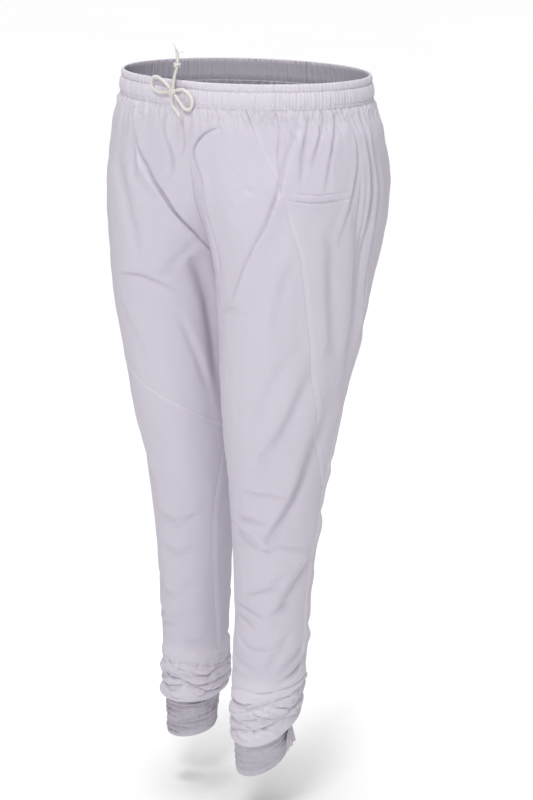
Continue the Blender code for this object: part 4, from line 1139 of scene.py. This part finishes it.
class Cuff:
    """A close tube of cloth below the stacked folds."""

    def __init__(self, name, leg, seed):
        self.name, self.leg, self.seed = name, leg, seed
        self.wrinkles = CUFF_WRINKLES[seed]

    def relief(self, height, turn):
        leg, wrinkles = self.leg, self.wrinkles
        arc = leg.arc(height)
        around = np.radians(turn)
        ring = sum(
            np.sin(waves * around + phase + 0.8 * self.seed) * share
            for waves, phase, share in ((1, 0.3, 0.0016), (2, 2.1, 0.0013), (3, 4.0, 0.0009), (5, 1.2, 0.0005))
        )
        wave = np.sin(2 * np.pi * (height + ring) / wrinkles.pitch + self.seed)
        size = 0.60 + 0.40 * np.sin(2 * around + 9 * height / 0.046 + self.seed)
        out = wrinkles.wave * wave * size + 0.0004 * crumple(turn * arc, height, 0.012, 60 + self.seed, 0.5)
        out = out - wrinkles.line * valley_lines(turn * arc, height, 0.026, 70 + self.seed, 0.30)
        share = (leg.ledge - height) / (leg.ledge - leg.hem)
        out = out * ease(share / 0.12) * ease((1 - share) / 0.10) + 0.0004
        near_top = 1 - ease(share / 0.75)
        for pleat in PLEATS:
            away = (np.mod(turn - pleat.turn + 180, 360) - 180) * arc
            out = out - pleat.depth * near_top * np.exp(-(away / 0.0015) ** 2)
        return out - 0.0003 * np.exp(-((height - leg.hem - HEM_STITCH) / 0.0008) ** 2)

    def points(self, height, turn, lift=0.0):
        return self.leg.place(height, turn, self.relief(height, turn) + lift)

    def build(self):
        leg = self.leg
        rows = [leg.ledge + 0.0030] + steps(leg.ledge + 0.0030, leg.hem + 0.0008, 0.0013) + [leg.hem]
        turn = np.linspace(-90, 270, CUFF_COLUMNS, endpoint=False) * np.ones((len(rows), 1))
        height = np.array(rows)[:, None] * np.ones(CUFF_COLUMNS)
        out = self.relief(height, turn)
        tucked = np.array(rows)[:, None] > leg.ledge
        points = leg.place(height, turn, np.where(tucked, 0.0, out)).reshape(-1, 3)
        places = np.stack([(turn + 90) * leg.arc(height), height + 1.0], axis=-1).reshape(-1, 2)
        faces = grid_faces(len(rows), CUFF_COLUMNS, leg.side < 0, closed=True)
        hem = 1.0 * (height < leg.hem + HEM_STITCH)
        return cloth_piece(self.name, points, faces, places, hem.ravel(), wall=CUFF_THICK)


FLAP_TURN, FLAP_LENGTH, FLAP_WALL = 101, 0.027, 0.0009
FlapRow = namedtuple("FlapRow", "share spread stand")
FLAP_ROWS = (
    FlapRow(-0.06, 6.0, 0.0024), FlapRow(0.00, 6.6, 0.0031), FlapRow(0.35, 10.5, 0.0052),
    FlapRow(0.70, 13.0, 0.0080), FlapRow(1.00, 14.5, 0.0102),
)


def vent_flap(name, leg, seed):
    table = Profile([(row.share, row.spread, row.stand) for row in FLAP_ROWS])
    share = np.linspace(-0.06, 1.0, 26)[:, None] * np.ones(17)
    across = np.linspace(-1, 1, 17) * np.ones((26, 1))
    spread, stand = table.at(share)
    stand = stand + 0.0011 * np.sin(7 * across + seed) * (0.3 + 0.7 * share) + 0.0004 * across ** 2
    height = leg.ledge - FLAP_LENGTH * share
    turn = FLAP_TURN + spread * across
    points = leg.place(height, turn, stand).reshape(-1, 3)
    places = np.stack([turn * leg.arc(height), height + 1.0], axis=-1).reshape(-1, 2)
    hem = np.maximum(ease((np.abs(across) - 0.5) / 0.1), ease((share - 0.75) / 0.05))
    return cloth_piece(name, points, grid_faces(26, 17, leg.side < 0), places, hem.ravel(), wall=FLAP_WALL)


cuffs = {}
for word, leg, seed in (("left", left_leg, 1), ("right", right_leg, 2)):
    cuffs[word] = Cuff("cuff_" + word + "_cloth", leg, seed)
    cloth["cuff_" + word] = cuffs[word].build()
    cloth["vent_flap_" + word] = vent_flap("vent_flap_" + word + "_cloth", leg, seed)
print("cuff", triangles(cloth["cuff_left"]), "triangles")

# %% [markdown]
# Stitches repeat by the thousand, so Geometry Nodes lay them. Each seam line is a chain of points just off
# the cloth that also carries the direction away from it. The tree resamples the chain at the stitch's
# pitch, sets one small bead of thread on each point, lies it along the seam, and makes real geometry of it.

# %% Seam lines for the stitches
STITCH_PITCH, STITCH_LENGTH, STITCH_THICK = 0.0027, 0.0021, 0.00042
THREAD_LIFT = 0.00008


def seam_line(surface, height, turn):
    """Points on a piece along a line, with the directions that point away from it."""
    height, turn = np.broadcast_arrays(np.asarray(height, float), np.asarray(turn, float))
    here = surface.points(height, turn, THREAD_LIFT)
    away = surface.points(height, turn, THREAD_LIFT + 0.001) - here
    away /= np.linalg.norm(away, axis=-1)[:, None]
    return here, away


class BandSurface:
    """Lets the waistband be stitched as a panel is."""

    def points(self, height, turn, lift=0.0):
        return band_points(height, turn, band_relief(height, turn) + lift)


def beside(panel, from_first, distance, rows):
    """A line that runs beside one edge of a panel at a distance."""
    rows = np.array(rows)
    arc = panel.leg.arc(rows)
    turn = panel.first(rows) + distance / arc if from_first else panel.last(rows) - distance / arc
    return seam_line(panel, rows, turn)


def level_rows(low, high, size=0.002):
    return np.linspace(high, low, max(2, round((high - low) / size)))


band_turns = np.linspace(-180, 180, 900)
lines = []
for height in (UPPER_STITCH, LOWER_STITCH):
    lines.append(seam_line(BandSurface(), np.full(900, height), band_turns))
thigh, long_rows = level_rows(GORE_END + 0.02, -0.020), level_rows(-0.795, -0.020)
lines.append(beside(panels["gore_left"], True, 0.0012, thigh))
lines.append(beside(panels["gore_left"], True, 0.0058, thigh))
lines.append(beside(panels["back_left"], True, 0.0012, long_rows))
lines.append(beside(panels["back_right"], True, 0.0012, long_rows))
lines.append(beside(panels["back_left"], False, 0.0012, level_rows(-0.795, -0.262)))
lines.append(beside(panels["back_right"], False, 0.0012, level_rows(-0.795, -0.262)))
lines.append(beside(panels["front_right_upper"], True, 0.0013, level_rows(-0.235, -0.020)))
lines.append(beside(panels["back_right"], False, 0.0013, level_rows(-0.235, -0.020)))
lower = panels["front_right_lower"]
for distance in (0.0013, 0.0060):
    level = JOIN_HEIGHT - distance
    turns = np.linspace(float(lower.first(level)) + 1, float(lower.last(level)) - 1, 130)
    lines.append(seam_line(lower, np.full(130, level), turns))
for word in ("left", "right"):
    leg = cuffs[word].leg
    around = np.linspace(-90, 270, 220)
    lines.append(seam_line(cuffs[word], np.full(220, leg.hem + HEM_STITCH), around))
pocket = panels["gore_left"]
lines.append(seam_line(pocket, np.linspace(-0.131, -0.133, 60), np.linspace(42, 74, 60)))
print("stitch lines:", len(lines))

# %% A tree that lays stitches along the lines
def stitch_lines_object(name, lines):
    points, edges, away = [], [], []
    for here, direction in lines:
        start = len(points)
        points.extend(here.tolist())
        away.extend(direction.tolist())
        edges.extend((start + i, start + i + 1) for i in range(len(here) - 1))
    mesh = bpy.data.meshes.new(name)
    mesh.from_pydata(points, edges, [])
    attribute = mesh.attributes.new("away", "FLOAT_VECTOR", "POINT")
    attribute.data.foreach_set("vector", np.array(away, np.float32).ravel())
    piece = bpy.data.objects.new(name, mesh)
    bpy.context.scene.collection.objects.link(piece)
    return piece


def stitch_tree():
    tree = bpy.data.node_groups.new("lay stitches", "GeometryNodeTree")
    face = tree.interface
    face.new_socket("Geometry", in_out="INPUT", socket_type="NodeSocketGeometry")
    for label in ("Pitch", "Length", "Thickness"):
        face.new_socket(label, in_out="INPUT", socket_type="NodeSocketFloat")
    face.new_socket("Thread", in_out="INPUT", socket_type="NodeSocketMaterial")
    face.new_socket("Geometry", in_out="OUTPUT", socket_type="NodeSocketGeometry")

    def add(kind, settings=None, inputs=None):
        node = tree.nodes.new(kind)
        for key, value in (settings or {}).items():
            setattr(node, key, value)
        for key, value in (inputs or {}).items():
            if isinstance(value, bpy.types.NodeSocket):
                tree.links.new(value, node.inputs[key])
            else:
                node.inputs[key].default_value = value
        return node

    given = add("NodeGroupInput").outputs
    chain = add("GeometryNodeMeshToCurve", inputs={"Mesh": given["Geometry"]}).outputs["Curve"]
    spaced = add("GeometryNodeResampleCurve", inputs={"Curve": chain})
    if hasattr(spaced, "mode"):
        spaced.mode = "LENGTH"
    tree.links.new(given["Pitch"], spaced.inputs["Length"])
    bead = add("GeometryNodeMeshUVSphere", inputs={"Segments": 5, "Rings": 3, "Radius": 0.5}).outputs["Mesh"]
    size = add("ShaderNodeCombineXYZ", inputs={
        "X": given["Length"], "Y": given["Thickness"], "Z": given["Thickness"],
    }).outputs["Vector"]
    bead = add("GeometryNodeTransform", inputs={"Geometry": bead, "Scale": size}).outputs["Geometry"]
    tangent = add("GeometryNodeInputTangent").outputs["Tangent"]
    away = add("GeometryNodeInputNamedAttribute", {"data_type": "FLOAT_VECTOR"}, {"Name": "away"})
    along = add("FunctionNodeAlignRotationToVector", {"axis": "X"}, {"Vector": tangent}).outputs["Rotation"]
    facing = add("FunctionNodeAlignRotationToVector", {"axis": "Z", "pivot_axis": "X"}, {
        "Rotation": along, "Vector": away.outputs["Attribute"],
    }).outputs["Rotation"]
    laid = add("GeometryNodeInstanceOnPoints", inputs={
        "Points": spaced.outputs["Curve"], "Instance": bead, "Rotation": facing,
    }).outputs["Instances"]
    real = add("GeometryNodeRealizeInstances", inputs={"Geometry": laid}).outputs["Geometry"]
    coloured = add("GeometryNodeSetMaterial", inputs={"Geometry": real, "Material": given["Thread"]})
    out = add("NodeGroupOutput")
    tree.links.new(coloured.outputs["Geometry"], out.inputs["Geometry"])
    return tree


def lay_stitches(name, lines, thread):
    """Runs the tree on the lines and keeps the result as a plain mesh."""
    chain = stitch_lines_object(name + "_lines", lines)
    tree = stitch_tree()
    layer = chain.modifiers.new("stitches", "NODES")
    layer.node_group = tree
    values = {"Pitch": STITCH_PITCH, "Length": STITCH_LENGTH, "Thickness": STITCH_THICK, "Thread": thread}
    for item in tree.interface.items_tree:
        if item.in_out == "INPUT" and item.name in values:
            layer[item.identifier] = values[item.name]
    depsgraph = bpy.context.evaluated_depsgraph_get()
    mesh = bpy.data.meshes.new_from_object(chain.evaluated_get(depsgraph))
    mesh.shade_smooth()
    piece = bpy.data.objects.new(name, mesh)
    bpy.context.scene.collection.objects.link(piece)
    bpy.data.objects.remove(chain, do_unlink=True)
    return piece


# %% [markdown]
# The finishes are written as Python sums. A small class wraps a shader socket, so that 1 - mask or
# weave * 0.3 adds the Math nodes by itself, and one method makes every other node. White cotton is all
# about small differences: uneven threads, a faint mottle, whiter double layers, and a soft sheen of fibres.

# %% Shader sums in Python
class Wire:
    """A shader socket with a number on it that Python can add and scale."""

    def __init__(self, finish, socket):
        self.finish, self.socket = finish, socket

    def maths(self, operation, first, second):
        return self.finish.node("ShaderNodeMath", {"operation": operation}, {0: first, 1: second})

    def __add__(self, other):
        return self.maths("ADD", self, other)

    def __radd__(self, other):
        return self.maths("ADD", other, self)

    def __sub__(self, other):
        return self.maths("SUBTRACT", self, other)

    def __rsub__(self, other):
        return self.maths("SUBTRACT", other, self)

    def __mul__(self, other):
        return self.maths("MULTIPLY", self, other)

    def __rmul__(self, other):
        return self.maths("MULTIPLY", other, self)


class Finish:
    """A Principled material whose nodes all come from one method."""

    def __init__(self, name, **constants):
        self.material = bpy.data.materials.new(name)
        self.material.use_nodes = True
        self.tree = self.material.node_tree
        self.shader = self.tree.nodes["Principled BSDF"]
        for socket, value in constants.items():
            self.shader.inputs[socket.replace("_", " ")].default_value = value

    def node(self, kind, settings=None, inputs=None, output=0):
        node = self.tree.nodes.new(kind)
        for key, value in (settings or {}).items():
            setattr(node, key, value)
        for key, value in (inputs or {}).items():
            if isinstance(value, Wire):
                self.tree.links.new(value.socket, node.inputs[key])
            else:
                node.inputs[key].default_value = value
        return Wire(self, node.outputs[output])

    def noise(self, place, scale, detail=2.0, roughness=0.5):
        return self.node("ShaderNodeTexNoise", inputs={
            "Vector": place, "Scale": scale, "Detail": detail, "Roughness": roughness,
        })

    def stretched(self, place, scale):
        return self.node("ShaderNodeMapping", inputs={"Vector": place, "Scale": scale})

    def mix(self, share, first, second):
        return self.node("ShaderNodeMix", {"data_type": "RGBA"}, {0: share, 6: first, 7: second}, 2)

    def bump(self, height, distance, strength=1.0):
        return self.node("ShaderNodeBump", inputs={
            "Height": height, "Distance": distance, "Strength": strength,
        })

    def wear(self, socket, wire):
        self.tree.links.new(wire.socket, self.shader.inputs[socket])


# %% Plain-weave cotton
COTTON = (0.640, 0.600, 0.680, 1.0)
COTTON_SHADE = (0.590, 0.552, 0.630, 1.0)
COTTON_DOUBLE = (0.690, 0.654, 0.722, 1.0)
# The crease tone is painted shade, the colour that crease lines are darkened toward.
CREASE_SHADE_TONE = (0.470, 0.435, 0.505, 1.0)
# The cuff colours are a darker cotton: painted shade under the ankle folds, for the cuffs and vent flaps.
SHADED_CUFF_COTTON = (0.550, 0.515, 0.586, 1.0)
SHADED_CUFF_DARK = (0.480, 0.448, 0.515, 1.0)
SHADED_CUFF_DOUBLE = (0.570, 0.535, 0.600, 1.0)
THREAD_PITCH = 0.00042


def cotton(name, light=COTTON, shade=COTTON_SHADE, double=COTTON_DOUBLE):
    finish = Finish(name, Sheen_Weight=0.05, Sheen_Roughness=0.45, Specular_IOR_Level=0.25)
    place = finish.node("ShaderNodeUVMap", {"uv_map": "cloth"})
    layers = finish.node("ShaderNodeAttribute", {"attribute_name": "layers"}, output=2)
    mottle = finish.noise(place, 9.0, 3.0)
    warp = finish.noise(finish.stretched(place, (1500.0, 34.0, 1.0)), 1.0, 2.0)
    weft = finish.noise(finish.stretched(place, (34.0, 1500.0, 1.0)), 1.0, 2.0)
    slub = warp * 0.6 + weft * 0.4
    base = finish.mix(mottle * 0.5 + slub * 0.5, shade, light)
    # Painted shade: the attribute darkens crease lines toward the crease tone.
    crease_shade = finish.node("ShaderNodeAttribute", {"attribute_name": "crease_shade"}, output=2)
    whole = finish.mix(layers * (0.35 + slub * 0.75), base, double)
    finish.wear("Base Color", finish.mix(crease_shade * (0.55 + slub * 0.4), whole, CREASE_SHADE_TONE))
    finish.wear("Roughness", 0.80 + slub * 0.16)
    turns = 2 * math.pi / (2 * THREAD_PITCH)
    split = finish.node("ShaderNodeSeparateXYZ", inputs={0: place})
    across = Wire(finish, split.socket.node.outputs[0])
    along = Wire(finish, split.socket.node.outputs[1])
    over = finish.node("ShaderNodeMath", {"operation": "SINE"}, {0: across * turns})
    under = finish.node("ShaderNodeMath", {"operation": "SINE"}, {0: along * turns})
    weave = over * under
    ripple = finish.noise(place, 130.0, 3.0, 0.6)
    gather = finish.node("ShaderNodeAttribute", {"attribute_name": "gather"}, output=2)
    streaks = finish.noise(finish.stretched(place, (290.0, 26.0, 1.0)), 1.0, 2.0)
    relief = weave * 0.16 + slub * 0.55 + ripple * 1.1 + gather * streaks * 9.0
    finish.wear("Normal", finish.bump(relief, 0.00035, 0.8))
    return finish.material


cloth_finish = cotton("white cotton")
# The darker finish is painted shade for the cuffs and vent flaps under the ankle folds.
shaded_cuff_finish = cotton("white cotton with painted shade", SHADED_CUFF_COTTON, SHADED_CUFF_DARK, SHADED_CUFF_DOUBLE)

# %% Cord and thread
CORD_LIGHT = (0.76, 0.735, 0.695, 1.0)
CORD_DARK = (0.59, 0.565, 0.525, 1.0)
THREAD = (0.80, 0.78, 0.83, 1.0)


def cord_cotton(name):
    finish = Finish(name, Sheen_Weight=0.2, Sheen_Roughness=0.5)
    place = finish.node("ShaderNodeTexCoord", output=3)
    fibres = finish.noise(place, 2600.0, 2.0)
    soil = finish.noise(place, 180.0, 2.0)
    finish.wear("Base Color", finish.mix(fibres * 0.5 + soil * 0.5, CORD_DARK, CORD_LIGHT))
    finish.wear("Roughness", 0.82 + fibres * 0.12)
    finish.wear("Normal", finish.bump(fibres, 0.0003, 0.7))
    return finish.material


def thread_cotton(name):
    finish = Finish(name, Sheen_Weight=0.1)
    place = finish.node("ShaderNodeTexCoord", output=3)
    ply = finish.noise(place, 1800.0, 1.0)
    finish.wear("Base Color", finish.mix(ply, (0.72, 0.70, 0.76, 1.0), THREAD))
    finish.wear("Roughness", 0.62 + ply * 0.2)
    return finish.material


cord_finish, thread_finish = cord_cotton("drawstring cotton"), thread_cotton("sewing thread")
stitches = lay_stitches("sewing_stitches", lines, thread_finish)
print("stitches:", len(stitches.data.polygons) // 15)

# %% [markdown]
# Every piece now gets its finish and takes its solid's place.

# %% Dress the frame
Cut = namedtuple("Cut", "node width length area held rests_on")
CUTS = (
    Cut("waistband", 1.10, 0.036, 0.0396, "gathered", ("front_left", "back_right")),
    Cut("front_left", 0.26, 0.94, 0.188, "hung", ("waistband",)),
    Cut("gore_left", 0.18, 0.55, 0.057, "hung", ("waistband",)),
    Cut("back_left", 0.30, 0.94, 0.214, "hung", ("waistband",)),
    Cut("front_right_upper", 0.34, 0.42, 0.130, "hung", ("waistband",)),
    Cut("front_right_lower", 0.23, 0.55, 0.098, "hung", ("front_right_upper",)),
    Cut("back_right", 0.31, 0.94, 0.226, "hung", ("waistband",)),
    Cut("cuff_left", 0.25, 0.052, 0.0130, "stretched", ("front_left",)),
    Cut("cuff_right", 0.25, 0.068, 0.0170, "stretched", ("front_right_lower",)),
    Cut("vent_flap_left", 0.024, 0.029, 0.00058, "hung", ("back_left",)),
    Cut("vent_flap_right", 0.024, 0.029, 0.00058, "hung", ("back_right",)),
)
for cut in CUTS:
    piece = cloth[cut.node]
    area = sum(face.area for face in piece.data.polygons)
    print(cut.node, "has", round(area, 4), "square metres of cloth; cut", cut.width, "by", cut.length)
    # Cuffs and vent flaps take the darker finish: painted shade under the ankle folds.
    in_fold_shade = cut.node.startswith(("cuff", "vent_flap"))
    piece.data.materials.append(shaded_cuff_finish if in_fold_shade else cloth_finish)
    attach(piece, BODY)
    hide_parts(cut.node)
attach(stitches, BODY)

# %% Dress the drawstring
for extra in (bow_knot, end_knot, *frays):
    extra.data.materials.append(cord_finish)
    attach(extra, BODY)
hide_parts("drawstring_knot")
on_cord = {"drawstring_end_up": [end_knot, frays[0]], "drawstring_end_down": [frays[1]]}
for plan in CORDS:
    piece, route = cords[plan.node]
    piece.data.materials.append(cord_finish)
    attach(piece, BODY)
    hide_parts(plan.node)
    length_of(route)
    [tuple(point) for point in route[::4] + route[-1:]]
    on_cord.get(plan.node, [])

# %% [markdown]
# The light is a photo studio's: one large soft lamp high beside the camera, a wide weak one on the other
# side, and a bright even surround. The floor is plain and pale, a little below the hems.

# %% Floor, lights and surround
FLOOR_DROP = 0.075
FLOOR_SIZE = 30.0


def pale_floor():
    work = bmesh.new()
    bmesh.ops.create_grid(work, x_segments=1, y_segments=1, size=FLOOR_SIZE)
    mesh = bpy.data.meshes.new("floor")
    work.to_mesh(mesh)
    work.free()
    mesh.transform(Matrix.Translation((0, 0, cad_low.z - FLOOR_DROP)))
    finish = Finish("pale floor", Emission_Color=(1.0, 1.0, 1.0, 1.0), Emission_Strength=0.09)
    place = finish.node("ShaderNodeTexCoord", output=3)
    finish.wear("Base Color", finish.mix(finish.noise(place, 1.5), (0.93, 0.93, 0.93, 1), (0.95, 0.95, 0.95, 1)))
    finish.wear("Roughness", 0.9 + finish.noise(place, 3.0) * 0.05)
    mesh.materials.append(finish.material)
    floor = bpy.data.objects.new("floor", mesh)
    bpy.context.scene.collection.objects.link(floor)


Lamp = namedtuple("Lamp", "name place size power")
LAMPS = (
    Lamp("key lamp", (0.98, -2.34, 1.80), 0.9, 43.0),
    Lamp("fill lamp", (3.4, -1.6, 0.6), 2.0, 3.0),
)
OVERHEAD_POWER, OVERHEAD_SPREAD = 2.35, math.radians(35)


def soft_lamp(lamp):
    light = bpy.data.lights.new(lamp.name, "AREA")
    light.size = lamp.size
    light.energy = lamp.power
    stand = bpy.data.objects.new(lamp.name, light)
    stand.location = lamp.place
    stand.rotation_euler = (Vector((0, 0, -0.45)) - Vector(lamp.place)).to_track_quat("-Z", "Y").to_euler()
    bpy.context.scene.collection.objects.link(stand)


def overhead_light():
    light = bpy.data.lights.new("overhead", "SUN")
    light.energy, light.angle = OVERHEAD_POWER, OVERHEAD_SPREAD
    bpy.context.scene.collection.objects.link(bpy.data.objects.new("overhead", light))


pale_floor()
overhead_light()
for lamp in LAMPS:
    soft_lamp(lamp)
world = bpy.data.worlds.new("surround")
world.use_nodes = True
world.node_tree.nodes["Background"].inputs["Color"].default_value = (1.0, 1.0, 1.0, 1.0)
world.node_tree.nodes["Background"].inputs["Strength"].default_value = 0.235
bpy.context.scene.world = world
bpy.context.scene.view_settings.view_transform = "Standard"
print("lamps:", len(LAMPS))
